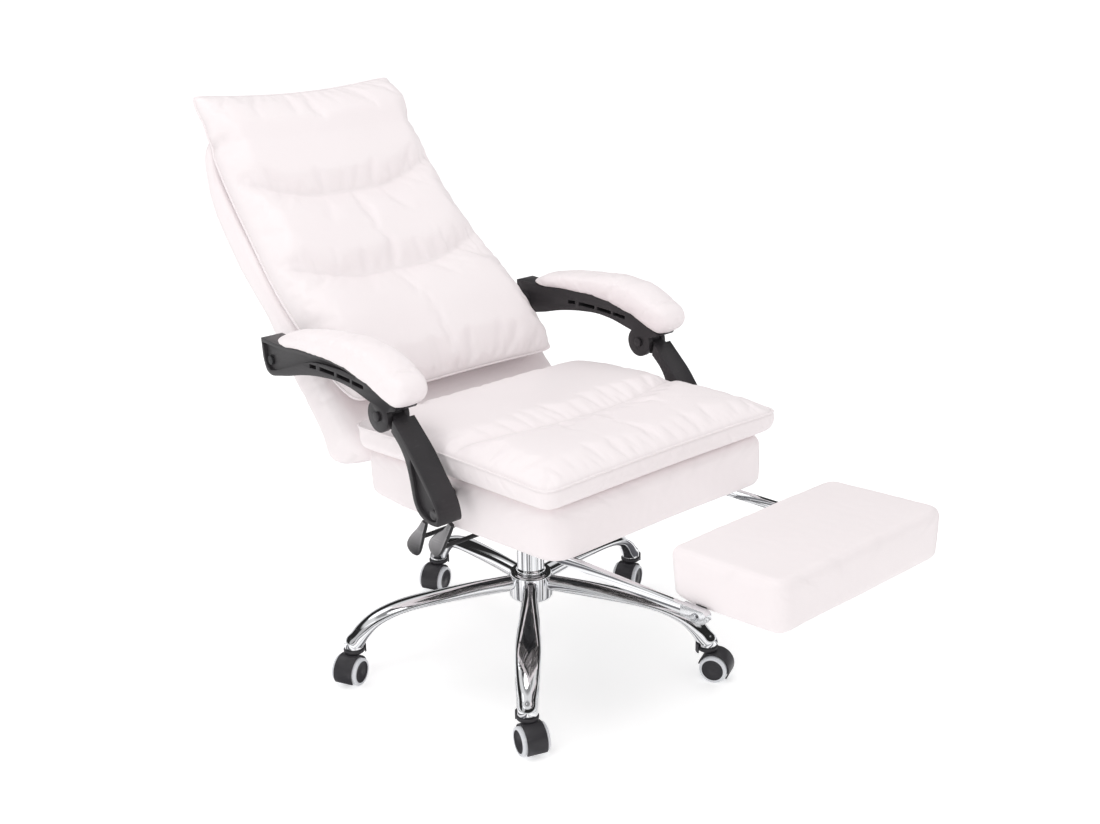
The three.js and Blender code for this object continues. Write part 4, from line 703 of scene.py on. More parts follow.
def pleats(run, off, scale, seed):
    """Folds from 0 to 1 that run off a seam: run is the way along it, off the way from it."""
    spots = np.stack([run * scale, off * scale * 0.22, np.full(len(run), seed)], axis=1)
    return np.array([max(0.0, 1 - abs(noise.noise(Vector(spot))) * 3.2) for spot in spots])


def rim_run(along, across, half):
    """The way along the nearest rim, and how far in from it, as lengths."""
    by_side = np.abs(across) > np.abs(along)
    run = np.where(by_side, along * half[0], across * half[1] + 3)
    off = np.where(by_side, (1 - np.abs(across)) * half[1], (1 - np.abs(along)) * half[0])
    return run, off


def covered(cover, body, replaced, push, crease_shade, welt=0.0):
    """Folds pushed along the surface, painted shade for creases and seams kept for the colour, the seam
    welted.
    """
    mesh = cover.data
    set_corners(mesh, corners_of(mesh) + normals_of(mesh) * push[:, None])
    for polygon in mesh.polygons:
        polygon.use_smooth = True
    # The painted shade of creases and seams, kept on the points for the leather's colour.
    mark = mesh.attributes.new("crease_shade", "FLOAT", "POINT")
    mark.data.foreach_set("value", np.clip(crease_shade, 0, 1).astype(np.float32))
    for label in ("along", "across", "face"):
        if label in mesh.attributes:
            mesh.attributes.remove(mesh.attributes[label])
    if welt:
        piping(f"{cover.name}_welt", seam_path(mesh), welt, body)
    for edge in mesh.edges:
        edge.use_seam = False
    mesh.name = cover.name
    mesh.materials.clear()
    mesh.materials.append(WHITE_LEATHER)
    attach(cover, body)
    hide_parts(replaced)


def seam_path(mesh):
    """The seam's points in order round the cover."""
    links = {}
    for edge in mesh.edges:
        if edge.use_seam:
            first, second = edge.vertices
            links.setdefault(first, []).append(second)
            links.setdefault(second, []).append(first)
    path = [min(links)]
    last = None
    while True:
        ahead = [spot for spot in links[path[-1]] if spot != last]
        last = path[-1]
        if ahead[0] == path[0]:
            break
        path.append(ahead[0])
    return [mesh.vertices[spot].co.copy() for spot in path]


def piping(name, points, radius, body):
    """A thin welt sewn into a seam."""
    count = len(points)
    rings = []
    for k, spot in enumerate(points):
        way = (points[(k + 1) % count] - points[k - 1]).normalized()
        side = way.cross(AXIS["z"] if abs(way.z) < 0.8 else AXIS["x"]).normalized()
        ring = Matrix.Identity(4)
        ring.col[0][:3] = side * radius
        ring.col[1][:3] = side.cross(way) * radius
        ring.col[2][:3] = way
        ring.col[3][:3] = spot
        rings.append(ring)
    bm = bmesh.new()
    tube(bm, rings, 6, ring_closed=True)
    finished(name, bm, body, [WHITE_LEATHER], (), 80)


def on_outline(a, b, half, corner, drawn=0.0):
    """A rounded rectangle with sides drawn in, for directions on the unit square."""
    x, y = a * half[0], b * half[1]
    inner_x = np.clip(x, corner - half[0], half[0] - corner)
    inner_y = np.clip(y, corner - half[1], half[1] - corner)
    dx, dy = x - inner_x, y - inner_y
    pull = np.maximum(np.maximum(np.abs(dx), np.abs(dy)), 1e-9) / np.maximum(np.hypot(dx, dy), 1e-9)
    x, y = inner_x + dx * pull, inner_y + dy * pull
    return x - a * drawn * (1 - b * b), y - b * drawn * (1 - a * a)


def direction(a, b):
    ring = np.maximum(np.abs(a), np.abs(b))
    safe = np.maximum(ring, 1e-6)
    return ring, a / safe, b / safe


# Back pad: share of its length against seam place and fullness, as shares of its depth
BACK_PAD_FOOT, BACK_PAD_LENGTH, BACK_PAD_WIDTH, BACK_PAD_DEPTH = 0.054, 0.707, 0.492, 0.086
BACK_PAD_SAG, BACK_PAD_DRAW_IN, BACK_PAD_EAR = 0.020, 0.005, 0.007
SHELL_FOOT, SHELL_HEIGHT, SHELL_THICKNESS = -0.030, 0.720, 0.050
BACK_SEAM_SHARES = [(0, 0.66), (0.04, 0.56), (0.1, 0.44), (0.2, 0.32), (0.3, 0.19), (0.4, 0.11),
                    (0.55, 0.08), (0.7, 0.14), (0.8, 0.27), (0.88, 0.42), (0.95, 0.54), (1, 0.62)]
BACK_FULL_SHARES = [(0, 0.16), (0.04, 0.44), (0.1, 0.55), (0.2, 0.66), (0.3, 0.65), (0.4, 0.61),
                    (0.55, 0.6), (0.7, 0.58), (0.8, 0.52), (0.88, 0.44), (0.95, 0.36), (1, 0.2)]
BACK_HALF_SHARES = [(0, 0.478), (0.089, 0.498), (0.215, 0.5), (0.378, 0.496), (0.583, 0.48), (1, 0.4715)]
SHELL_FRONT_SHARES = [(0, 0.12), (0.0111, 0.2), (0.025, 0.28), (0.0417, 0.36), (0.0583, 0.4),
                      (0.0778, 0.44), (0.1806, 0.44), (0.3014, 0.43), (0.3389, 0.42), (0.3944, 0.2),
                      (0.475, 0.0), (0.55, -0.04), (0.7333, -0.04), (0.8, 0.04), (0.8639, 0.12),
                      (0.9306, 0.52), (0.9583, 0.68), (1, 0.92)]
BACK_CHANNEL_SHARES = (0.363, 0.645)
CHANNEL_DEPTH, CHANNEL_WIDTH_SHARE, CHANNEL_LIFT_SHARE = 0.013, 0.038, 0.075
NOTCH_SHARE, NOTCH_DRAW_IN, NOTCH_DEPTH = 0.84, 3.5 * MM, 5.0 * MM
BACK_PAD_CELLS, BACK_PAD_CAP, BACK_WELT = (68, 96), 0.011, 2.4 * MM

# Depths of the back pad's folds, from the whole surface down to its seam
BACK_BILLOW, CHANNEL_LINE, CHANNEL_FOLD = 2.0 * MM, 1.6 * MM, 1.5 * MM
BACK_FOOT_FOLD, BACK_SEAM_TUCK = 1.3 * MM, 1.2 * MM


def channel_distance(share, a, place):
    """Share of the pad's length between a point and a sewn channel, which lifts at its ends."""
    return share - place - CHANNEL_LIFT_SHARE * np.maximum(0, (np.abs(a) - 0.3) / 0.7) ** 1.5


def crowded(a, b):
    """Places on the sheet moved so that its cells crowd towards the rims."""
    return a * (1.25 - 0.25 * a * a), b * (1.2 - 0.2 * b * b)


def back_pad():
    def rim(a, b):
        """The seam and the shell's front at each place; the corners draw in a little."""
        a, b = crowded(a, b)
        share = (b + 1) / 2
        height = BACK_PAD_FOOT + share * BACK_PAD_LENGTH
        front = reading(SHELL_FRONT_SHARES, (height - SHELL_FOOT) / SHELL_HEIGHT) * SHELL_THICKNESS
        seam = np.maximum(eased(BACK_SEAM_SHARES, share) * BACK_PAD_DEPTH, front + 2.7 * MM)
        ear = BACK_PAD_EAR * np.abs(a * b) ** 14
        notch = NOTCH_DRAW_IN * bell(share - NOTCH_SHARE, 0.016) * np.abs(a) ** 8
        y = a * eased(BACK_HALF_SHARES, share) * BACK_PAD_WIDTH - a * (ear + notch)
        sag = (1 - a * a) * (share * BACK_PAD_SAG - (1 - share) * BACK_PAD_DRAW_IN)
        return a, share, front, seam, y, height - sag - b * ear

    def facing(a, b):
        a, share, _, seam, y, z = rim(a, b)
        edge = bulging((a + 1) / 2, 12) * bulging(share, 20)
        dip = sum(bell(channel_distance(share, a, place), CHANNEL_WIDTH_SHARE)
                  for place in BACK_CHANNEL_SHARES)
        fall = CHANNEL_DEPTH * dip * (1 - np.abs(a) ** 5)
        full = eased(BACK_FULL_SHARES, share) * BACK_PAD_DEPTH - fall
        return seam + edge * full, y, z

    def behind(a, b):
        a, share, front, seam, y, z = rim(a, b)
        rest = np.minimum(front + 1.8 * MM, seam)
        return seam - (seam - rest) * bulging((a + 1) / 2, 16) * bulging(share, 16), y, z

    cover = stuffed("back_pad_stuffed", BACK_PAD_CELLS, BACK_FRAME, facing, behind)
    a, b, face = marks_of(cover.data)
    a, b = crowded(a, b)
    share = (b + 1) / 2
    ring = np.maximum(np.abs(a), np.abs(b))
    hold = np.clip(1 - (1 - ring) / 0.05, 0, 1)
    for place in BACK_CHANNEL_SHARES:
        hold = np.maximum(hold, 0.8 * bell(channel_distance(share, a, place), 0.012) * (np.abs(a) < 0.9))
    swollen(cover, np.where(face > 0.01, hold, 1), BACK_PAD_CAP, 0.03)
    doubled(cover)
    a, b, face = marks_of(cover.data)
    a, b = crowded(a, b)
    share = (b + 1) / 2
    half = (0.24, BACK_PAD_LENGTH / 2)
    run, off = rim_run(b, a, (half[1], half[0]))
    front = np.clip(face, 0, 1)
    places = corners_of(cover.data)
    push = BACK_BILLOW * billow(places, 8.0, 3.1) * front * np.clip(off / 0.05, 0, 1)
    # Painted shade: darker colour along the sewn channels and their folds, in the notch and along the seam.
    crease_shade = np.zeros(len(a))
    for index, place in enumerate(BACK_CHANNEL_SHARES):
        wander = 0.004 * billow(places, 11.0, 5.0 + index)
        away = channel_distance(share, a, place) - wander
        fade = np.clip((0.97 - np.abs(a)) / 0.1, 0, 1) * front
        line = bell(away, 0.0075)
        folds = pleats(a * half[0], away * BACK_PAD_LENGTH, 30.0, 2.0 + index) ** 2
        near = bell(away, 0.045) * (0.3 + 0.7 * np.clip((np.abs(a) - 0.3) / 0.5, 0, 1))
        push -= fade * (CHANNEL_LINE * line + CHANNEL_FOLD * folds * near)
        crease_shade = np.maximum(crease_shade, fade * (0.2 * line + 0.1 * folds * near))
    folds = pleats(a * half[0], share * BACK_PAD_LENGTH, 17.0, 9.0) ** 2
    foot = bell(share, 0.12) * front
    push -= BACK_FOOT_FOLD * folds * foot * np.clip(off / 0.012, 0, 1)
    tucks = pleats(run, off, 34.0, 14.0) ** 2
    edge = bell(off - 0.014, 0.014)
    push -= BACK_SEAM_TUCK * tucks * edge * np.clip(off / 0.006, 0, 1)
    notch = bell(share - NOTCH_SHARE, 0.012) * np.clip((np.abs(a) - 0.86) / 0.08, 0, 1)
    push -= NOTCH_DEPTH * notch * front
    crease_shade = np.maximum(crease_shade, 0.2 * notch + 0.4 * bell(off, 0.004))
    covered(cover, "back", "back_pad", push, crease_shade, BACK_WELT)


# Seat pad: a loose stuffed pad whose lower half hangs over the cushion's edge
SEAT_PAD_FRONT, SEAT_PAD_DEPTH, SEAT_PAD_WIDTH = 0.358, 0.5065, 0.541
SEAT_PAD_SEAM, SEAT_PAD_DROP, SEAT_PAD_DRAW_IN = 0.1283, 0.011, 0.007
SEAT_PAD_CROWN, SEAT_PAD_CORNER, SEAT_PAD_SEAM_DIP = 0.025, 0.030, 0.006
SEAT_PAD_REST = 0.0808
CROWN_SHARES = [(0, 0), (0.02, 0.2), (0.06, 0.36), (0.12, 0.48), (0.3, 0.74), (0.5, 0.96), (0.65, 1.0),
                (0.8, 0.93), (0.9, 0.76), (0.96, 0.52), (0.985, 0.3), (1, 0)]
# Way round the lower half from seam to rest: inset in millimetres, and share of the fall
SKIRT_INSET = [(0, 0), (0.12, -1.2), (0.3, -0.8), (0.5, 3), (0.68, 10), (0.82, 20), (0.92, 31), (1, 44)]
SKIRT_FALL = [(0, 0), (0.12, 0.19), (0.3, 0.48), (0.5, 0.77), (0.68, 0.93), (0.82, 0.99), (0.92, 1), (1, 1)]
SKIRT_SHARE = 0.3
SEAT_PAD_CELLS, SEAT_PAD_CAP, SEAT_WELT = (76, 80), 0.009, 2.1 * MM

# Depths of the seat pad's folds
SEAT_BILLOW, SEAT_CHANNEL_LINE, SEAT_CHANNEL_FOLD = 2.0 * MM, 1.8 * MM, 1.0 * MM
SEAT_TOP_TUCK, SEAT_UNDER_TUCK = 1.1 * MM, 1.4 * MM


def seat_channel_distance(a, b):
    """Share of the pad's depth between a point and its sewn channel, which bows forward."""
    return (a + 1) / 2 - 0.62 + 0.1 * b * b


def seat_pad():
    middle, half = SEAT_PAD_FRONT - SEAT_PAD_DEPTH / 2, (SEAT_PAD_DEPTH / 2, SEAT_PAD_WIDTH / 2)

    def seam_level(along):
        return SEAT_PAD_SEAM - (along + 1) / 2 * SEAT_PAD_DROP

    def above(a, b):
        ring, side_a, side_b = direction(a, b)
        x, y = on_outline(side_a, side_b, half, SEAT_PAD_CORNER, SEAT_PAD_DRAW_IN)
        rise = eased(CROWN_SHARES, (a + 1) / 2) * bulging((b + 1) / 2, 8) * SEAT_PAD_CROWN
        dip = bell(seat_channel_distance(a, b), 0.04) * (1 - np.abs(b) ** 6)
        return middle + x * ring, y * ring, seam_level(a) + rise - SEAT_PAD_SEAM_DIP * dip

    def below(a, b):
        ring, side_a, side_b = direction(a, b)
        way = np.clip((1 - ring) / SKIRT_SHARE, 0, 1)
        inset = eased(SKIRT_INSET, way) * MM
        bulging_out = inset * (0.5 + 0.5 * side_a)
        drawn_in = inset * (1 + 0.5 * np.abs(side_a * side_b) ** 6)
        inset = np.where(inset < 0, bulging_out, drawn_in)
        sizes = (half[0] - inset, half[1] - inset)
        corner = np.maximum(SEAT_PAD_CORNER - inset, 0.008)
        x, y = on_outline(side_a, side_b, sizes, corner, SEAT_PAD_DRAW_IN)
        inward = np.minimum(ring / (1 - SKIRT_SHARE), 1)
        seam = seam_level(side_a)
        return middle + x * inward, y * inward, seam - (seam - SEAT_PAD_REST) * eased(SKIRT_FALL, way)

    cover = stuffed("seat_pad_stuffed", SEAT_PAD_CELLS, SEAT_FRAME, above, below)
    a, b, face = marks_of(cover.data)
    ring = np.maximum(np.abs(a), np.abs(b))
    away = seat_channel_distance(a, b)
    hold = np.maximum(np.clip(1 - (1 - ring) / 0.05, 0, 1), 0.7 * bell(away, 0.014) * (np.abs(b) < 0.9))
    skirt = np.clip(1.2 - ring, 0, 1) * 1.2
    skirt = np.where(ring < 1 - 0.5 * SKIRT_SHARE, 1, np.maximum(0.55, skirt))
    swollen(cover, np.where(face > 0.01, hold, skirt), SEAT_PAD_CAP, 0.03)
    doubled(cover)
    a, b, face = marks_of(cover.data)
    run, off = rim_run(a, b, half)
    top, under = np.clip(face, 0, 1), np.clip(-face, 0, 1)
    places = corners_of(cover.data)
    push = SEAT_BILLOW * billow(places, 8.0, 8.3) * top * np.clip(off / 0.05, 0, 1)
    away = seat_channel_distance(a, b) - 0.006 * billow(places, 9.0, 2.0)
    fade = np.clip((0.97 - np.abs(b)) / 0.08, 0, 1) * top
    line = bell(away, 0.011)
    folds = pleats(b * half[1], away * SEAT_PAD_DEPTH, 21.0, 4.0) ** 2
    near = bell(away, 0.08)
    push -= fade * (SEAT_CHANNEL_LINE * line + SEAT_CHANNEL_FOLD * folds * near)
    # Painted shade: darker colour along the sewn channel and its folds, and along the seam.
    crease_shade = fade * (0.18 * line + 0.06 * folds * near)
    tucks = pleats(run, off, 36.0, 21.0) ** 2
    push -= SEAT_TOP_TUCK * tucks * bell(off - 0.014, 0.015) * np.clip(off / 0.006, 0, 1) * top
    push -= SEAT_UNDER_TUCK * pleats(run, off, 30.0, 27.0) ** 2 * bell(off - 0.02, 0.02) * under
    crease_shade = np.maximum(crease_shade, 0.4 * bell(off, 0.004))
    covered(cover, "seat", "seat_pad", push, crease_shade, SEAT_WELT)


# Boxed cushions: places and sizes in their body's own level drawing
SEAT_CUSHION_FORM = {
    "middle": 0.0955, "half": (0.2515, 0.2505), "foot": 0.0, "top": 0.080, "top_edge": 0.018,
    "foot_edge": 0.009, "corner": 0.042, "drawn": 0.004, "crown": 0.0, "bulge": 0.002,
    "taper": 0.0, "hang": 0.0095,
}
FOOTREST_PAD_FORM = {
    "middle": 0.043, "half": (0.109, 0.194), "foot": 0.0142, "top": 0.0895, "top_edge": 0.016,
    "foot_edge": 0.009, "corner": 0.026, "drawn": 0.0, "crown": 0.003, "bulge": 0.0,
    "taper": 0.006, "hang": 0.006,
}
HANG_REACH, WALL_SHARE = 0.016, 0.36
BOX_BILLOW, BOX_FOLD, BOX_SEAM = 1.4 * MM, 1.3 * MM, 0.25 * MM


def boxed(node, own, form, body, cells, cap, seed):
    """A boxed cushion: foam that fills its cover, walls that round over top and foot."""
    half, corner, bulge, taper = form["half"], form["corner"], form["bulge"], form["taper"]
    waist = (form["foot"] + form["top"]) / 2
    wall_share = WALL_SHARE

    def half_shell(edge, rise, sign, swell, hang):
        straight = rise - edge

        def shape(a, b):
            ring, side_a, side_b = direction(a, b)
            share = np.clip((1 - ring) / wall_share, 0, 1)
            way = share * (straight + edge * math.pi / 2)
            turn = np.clip((way - straight) / edge, 0, math.pi / 2)
            height = np.minimum(way, straight) + edge * np.sin(turn)
            inset = edge * (1 - np.cos(turn)) - bulge * (1 - (height / rise) ** 2)
            inset = inset + taper * (0.5 - 0.5 * sign * height / rise)
            sizes = (half[0] - inset, half[1] - inset)
            x, y = on_outline(side_a, side_b, sizes, np.maximum(corner - inset, 0.004), form["drawn"])
            inward = np.minimum(ring / (1 - wall_share), 1)
            dome = swell * (1 - a ** 2 / (1 - wall_share) ** 2) * (1 - b ** 2 / (1 - wall_share) ** 2)
            dome = np.where(ring < 1 - wall_share, dome, 0)
            rim = share * np.clip(1 - (1 - inward) * half[0] / HANG_REACH, 0, 1)
            forward = np.clip((side_a + 1) / 0.4, 0, 1) * (1 + 0.4 * (1 - side_a * side_a))
            level = waist + sign * (height + dome) - hang * rim * forward
            return form["middle"] + x * inward, y * inward, level
        return shape

    cover = stuffed(f"{node}_covered", cells, own,
                    half_shell(form["top_edge"], form["top"] - waist, 1, form["crown"], 0.0),
                    half_shell(form["foot_edge"], waist - form["foot"], -1, 0.0, form["hang"]))
    a, b, face = marks_of(cover.data)
    ring = np.maximum(np.abs(a), np.abs(b))
    level = np.where(face > 0.01, 0.35, np.where(ring < 1 - 0.8 * wall_share, 1.0, 0.4))
    swollen(cover, level, cap, 0.01)
    doubled(cover)
    a, b, face = marks_of(cover.data)
    ring = np.maximum(np.abs(a), np.abs(b))
    run, _ = rim_run(a, b, half)
    places = corners_of(cover.data)
    wall = np.clip((ring - 1 + wall_share) / 0.05, 0, 1)
    way = np.where(face > 0, 1 - ring, ring - 1)
    push = BOX_BILLOW * billow(places, 9.0, seed) * np.where(face < -0.01, wall, 1)
    folds = pleats(run, way * 0.2, 18.0, seed) ** 2
    push -= BOX_FOLD * folds * wall * bell(way - 0.2, 0.12)
    seam = bell(np.abs(way) - 0.3, 0.012) * (face > 0)
    push -= BOX_SEAM * seam
    # Painted shade: darker colour in the wall folds and along the seam.
    crease_shade = 0.12 * folds * wall * bell(way - 0.2, 0.12) + 0.06 * seam
    covered(cover, body, node, push, crease_shade)


# Covers of the shell and the arm pads, made from their own solids
SHELL_CELL, SHELL_CAP, SHELL_BILLOW, SHELL_FOLD, SHELL_STITCH = 0.006, 0.004, 1.2 * MM, 2.2 * MM, 1.0 * MM
ARM_PAD_CELL, ARM_PAD_CAP, ARM_PAD_BILLOW = 0.004, 0.0025, 0.7 * MM
ARM_PAD_FOOT_REACH, ARM_PAD_FOOT_LEVEL = [-0.30, -0.13, 0.0, 0.08], [0.607, 0.613, 0.592, 0.590]


def smooth_copy(node, voxel):
    """A soft node's surface remeshed into even cells, as an object to be dressed."""
    bm = merged_copy(node)
    mesh = bpy.data.meshes.new(f"{node}_covered")
    bm.to_mesh(mesh)
    bm.free()
    draft = bpy.data.objects.new(f"{node}_covered", mesh)
    bpy.context.scene.collection.objects.link(draft)
    remesh = draft.modifiers.new("even_cells", "REMESH")
    remesh.mode = "VOXEL"
    remesh.voxel_size = voxel
    relax = draft.modifiers.new("relax", "SMOOTH")
    relax.factor = 0.5
    relax.iterations = 5
    baked(draft)
    return draft


def drawn_level(mesh, own):
    """The mesh's corners in the level drawing of its own body frame."""
    flip = np.array(own.inverted())
    return corners_of(mesh) @ flip[:3, :3].T + flip[:3, 3]


def back_shell():
    cover = smooth_copy("back_shell", SHELL_CELL)
    level = drawn_level(cover.data, BACK_FRAME)
    share = (level[:, 2] - SHELL_FOOT) / SHELL_HEIGHT
    rear = level[:, 0] < reading(SHELL_FRONT_SHARES, share) * SHELL_THICKNESS - 18 * MM
    hold = np.where(rear & (np.abs(level[:, 1]) < 0.19), 0.35, 0.9)
    swollen(cover, np.where(level[:, 2] < 0.02, 1, hold), SHELL_CAP)
    doubled(cover)
    level = drawn_level(cover.data, BACK_FRAME)
    share = (level[:, 2] - SHELL_FOOT) / SHELL_HEIGHT
    side = np.clip((np.abs(level[:, 1]) - 0.225) / 0.02, 0, 1)
    low = bell(share - 0.24, 0.13) * side
    folds = pleats(level[:, 2], level[:, 0], 30.0, 31.0) ** 2
    free = np.clip((level[:, 2] - 0.03) / 0.03, 0, 1)
    stitch = bell(np.abs(level[:, 1]) - 0.236, 0.004) * (level[:, 0] < -0.02)
    push = (SHELL_BILLOW * billow(level, 6.0, 14.0) - SHELL_FOLD * folds * low
            - SHELL_STITCH * stitch) * free
    # Painted shade: darker colour in the low side folds and along the stitch line.
    covered(cover, "back", "back_shell", push, 0.16 * folds * low + 0.3 * stitch)


def arm_pad(label):
    cover = smooth_copy(f"arm_pad_{label}", ARM_PAD_CELL)
    places = corners_of(cover.data)
    low = places[:, 2] < np.interp(places[:, 0], ARM_PAD_FOOT_REACH, ARM_PAD_FOOT_LEVEL)
    swollen(cover, np.where(low, 1.0, 0.1), ARM_PAD_CAP)
    doubled(cover)
    places = corners_of(cover.data)
    push = ARM_PAD_BILLOW * billow(places, 16.0, 6.0)
    covered(cover, f"upper_arm_{label}", f"arm_pad_{label}", push, np.zeros(len(places)))


# Arms: moulded nylon, carved from smooth slabs

ARM_OFFSET, ARM_WIDTH, SHELL_SIDE = 0.300, 0.0436, 0.2535
INNER_FACE, OUTER_FACE = ARM_OFFSET - ARM_WIDTH / 2, ARM_OFFSET + ARM_WIDTH / 2
TONGUE_HALF, POCKET_DEPTH, BOLT_BORE = 0.0113, 0.006, 0.0086
ELBOW, ARM_FOOT, ARM_CAP = (0.001, 0.544), (0.098, 0.420), (0.138, 0.413)
ARM_REAR, ARM_RUN = (-0.32585, 0.56574), 0.3288
ELBOW_DISC, TONGUE_DISC, CLEAR_DISC, TONGUE_GAP = 0.055, 0.050, 0.059, 0.6 * MM
REAR_BOSS, REAR_HEAD_BORE, REAR_BORE = 0.040, 0.021, 0.0104
FOOT_CAP, FOOT_BOSS, SEAT_SIDE, FOOT_BORE_START, FOOT_BORE_DEPTH = 0.017, 0.018, 0.2503, 0.2, 0.0223
OVERRUN, UPPER_ARM_ROUND, LOWER_ARM_ROUND = 2 * MM, 1.3 * MM, 1.6 * MM
DISC_SIDES, BORE_SIDES = 56, 20

# Arm outlines in the side view: shares of the arm's run, or of the lower arm's run and fall
ARM_TOP_SHARES = [(-0.067, 0.115), (-0.0067, 0.113), (0.1, 0.1113), (0.1606, 0.11), (0.215, 0.1161),
                  (0.393, 0.131), (0.587, 0.1364), (0.754, 0.1249), (0.822, 0.11), (0.887, 0.09),
                  (0.9565, 0.076), (1.0105, 0.0545), (1.077, 0.0265), (1.146, 0.005)]
ARM_UNDER_SHARES = [(1.135, -0.008), (1.09, -0.02), (1.06, -0.028), (0.936, -0.008), (0.823, 0.017),
                    (0.75, 0.029), (0.645, 0.035), (0.53, 0.026), (0.42, 0.0105), (0.31, -0.012),
                    (0.2, -0.042), (0.109, -0.062), (0.03, -0.0782), (-0.015, -0.07), (-0.04, -0.045),
                    (-0.059, 0.01)]
ARM_POCKET_SHARES = [(-0.046, 0.08), (-0.035, 0.092), (0.16, 0.09), (0.393, 0.114), (0.587, 0.12),
                     (0.73, 0.109), (0.82, 0.09), (0.74, 0.101), (0.645, 0.1), (0.53, 0.095),
                     (0.42, 0.083), (0.31, 0.05), (0.2, 0.006), (0.109, -0.026), (0.03, -0.05),
                     (-0.012, -0.046), (-0.038, -0.005)]
ARM_WINDOW_SHARES = [(0.401, 0.462), (0.495, 0.629), (0.65, 0.766), (0.784, 0.881)]
WINDOW_LEVEL_SHARE, WINDOW_HEIGHT = 0.0555, 0.007
LOWER_ARM_SHARES = [(0.292, 1.015), (0.504, 0.817), (0.664, 0.66), (0.869, 0.4), (1.037, 0.196),
                    (1.11, 0.038), (1.125, -0.085), (1.075, -0.13), (0.934, -0.145), (0.796, -0.111),
                    (0.7, -0.04), (0.632, 0.09), (0.584, 0.31), (0.547, 0.45), (0.489, 0.6),
                    (0.4, 0.73), (0.255, 0.863)]
LOWER_POCKET_SHARES = [(0.606, 0.603), (0.752, 0.435), (0.898, 0.26), (1.007, 0.137), (1.058, 0.015),
                       (1.058, -0.061), (1.0, -0.092), (0.912, -0.092), (0.81, -0.053), (0.73, 0.023),
                       (0.686, 0.13), (0.65, 0.344), (0.61, 0.496)]


def arm_points(shares):
    return [(ARM_REAR[0] + reach * ARM_RUN, ARM_REAR[1] + rise * ARM_RUN) for reach, rise in shares]


def lower_points(shares):
    run, fall = ARM_CAP[0] - ELBOW[0], ELBOW[1] - ARM_CAP[1]
    return [(ELBOW[0] + reach * run, ARM_CAP[1] + rise * fall) for reach, rise in shares]


def curved(points, per=4):
    """A smooth open run of points through a list, without its last point."""
    count = (len(points) - 1) * per + 1
    return [tuple(row) for row in smoothed_rows(points, count)]


def prism(bm, points, near, far):
    """A side view of X and Z points given thickness in Y."""
    corners = [bm.verts.new((x, near, z)) for x, z in points]
    edges = [bm.edges.new((corners[k], corners[(k + 1) % len(corners)])) for k in range(len(corners))]
    face = bmesh.ops.contextual_create(bm, geom=edges)["faces"]
    made = bmesh.ops.extrude_face_region(bm, geom=face, use_keep_orig=True)
    moved = [item for item in made["geom"] if isinstance(item, bmesh.types.BMVert)]
    bmesh.ops.translate(bm, verts=moved, vec=(0, far - near, 0))


def drum(bm, diameter, near, far, centre, sides=40):
    """A round bar along Y."""
    place = (Matrix.Translation((centre[0], (near + far) / 2, centre[1]))
             @ Matrix.Rotation(math.pi / 2, 4, "X"))
    bmesh.ops.create_cone(bm, cap_ends=True, segments=sides, radius1=diameter / 2, radius2=diameter / 2,
                          depth=abs(far - near), matrix=place)


def as_tool(shapes):
    """Shapes drawn by functions, as one temporary object."""
    bm = bmesh.new()
    for shape, *sizes in shapes:
        shape(bm, *sizes)
    bmesh.ops.recalc_face_normals(bm, faces=bm.faces)
    mesh = bpy.data.meshes.new("tool")
    bm.to_mesh(mesh)
    bm.free()
    tool = bpy.data.objects.new("tool", mesh)
    bpy.context.scene.collection.objects.link(tool)
    return tool


def carved(first, steps):
    """The first shape joined with or cut by the others in turn, as a bmesh."""
    body = as_tool([first])
    tools = []
    for operation, shapes in steps:
        tool = as_tool(shapes)
        step = body.modifiers.new(operation, "BOOLEAN")
        step.operation = operation
        step.solver = "EXACT"
        step.use_self = True
        step.object = tool
        tools.append(tool)
    baked(body)
    bm = bmesh.new()
    bm.from_mesh(body.data)
    for item in [body, *tools]:
        spent = item.data
        bpy.data.objects.remove(item)
        bpy.data.meshes.remove(spent)
    return bm


def softened(bm, width, steep=35):
    """Sharp edges broken by a small round."""
    bmesh.ops.remove_doubles(bm, verts=bm.verts, dist=0.01 * MM)
    bmesh.ops.dissolve_limit(bm, angle_limit=math.radians(1.0), verts=bm.verts, edges=bm.edges)
    sharp = [edge for edge in bm.edges
             if len(edge.link_faces) == 2 and edge.calc_face_angle(0) > math.radians(steep)]
    bmesh.ops.bevel(bm, geom=sharp, offset=width, offset_type="OFFSET", segments=2, profile=0.5,
                    affect="EDGES", clamp_overlap=True, material=-1)
    return bm


def window_outline(start, stop):
    """A slot in the arm's side between two shares of its run, which sags away from the middle."""
    level = ARM_REAR[1] + WINDOW_LEVEL_SHARE * ARM_RUN
    foot = []
    for share in (start, stop):
        sag = WINDOW_HEIGHT * max(0, abs(share - 0.6) - 0.1) * 3
        foot.append((ARM_REAR[0] + share * ARM_RUN, level - sag))
    return foot + [(x, z + WINDOW_HEIGHT) for x, z in reversed(foot)]


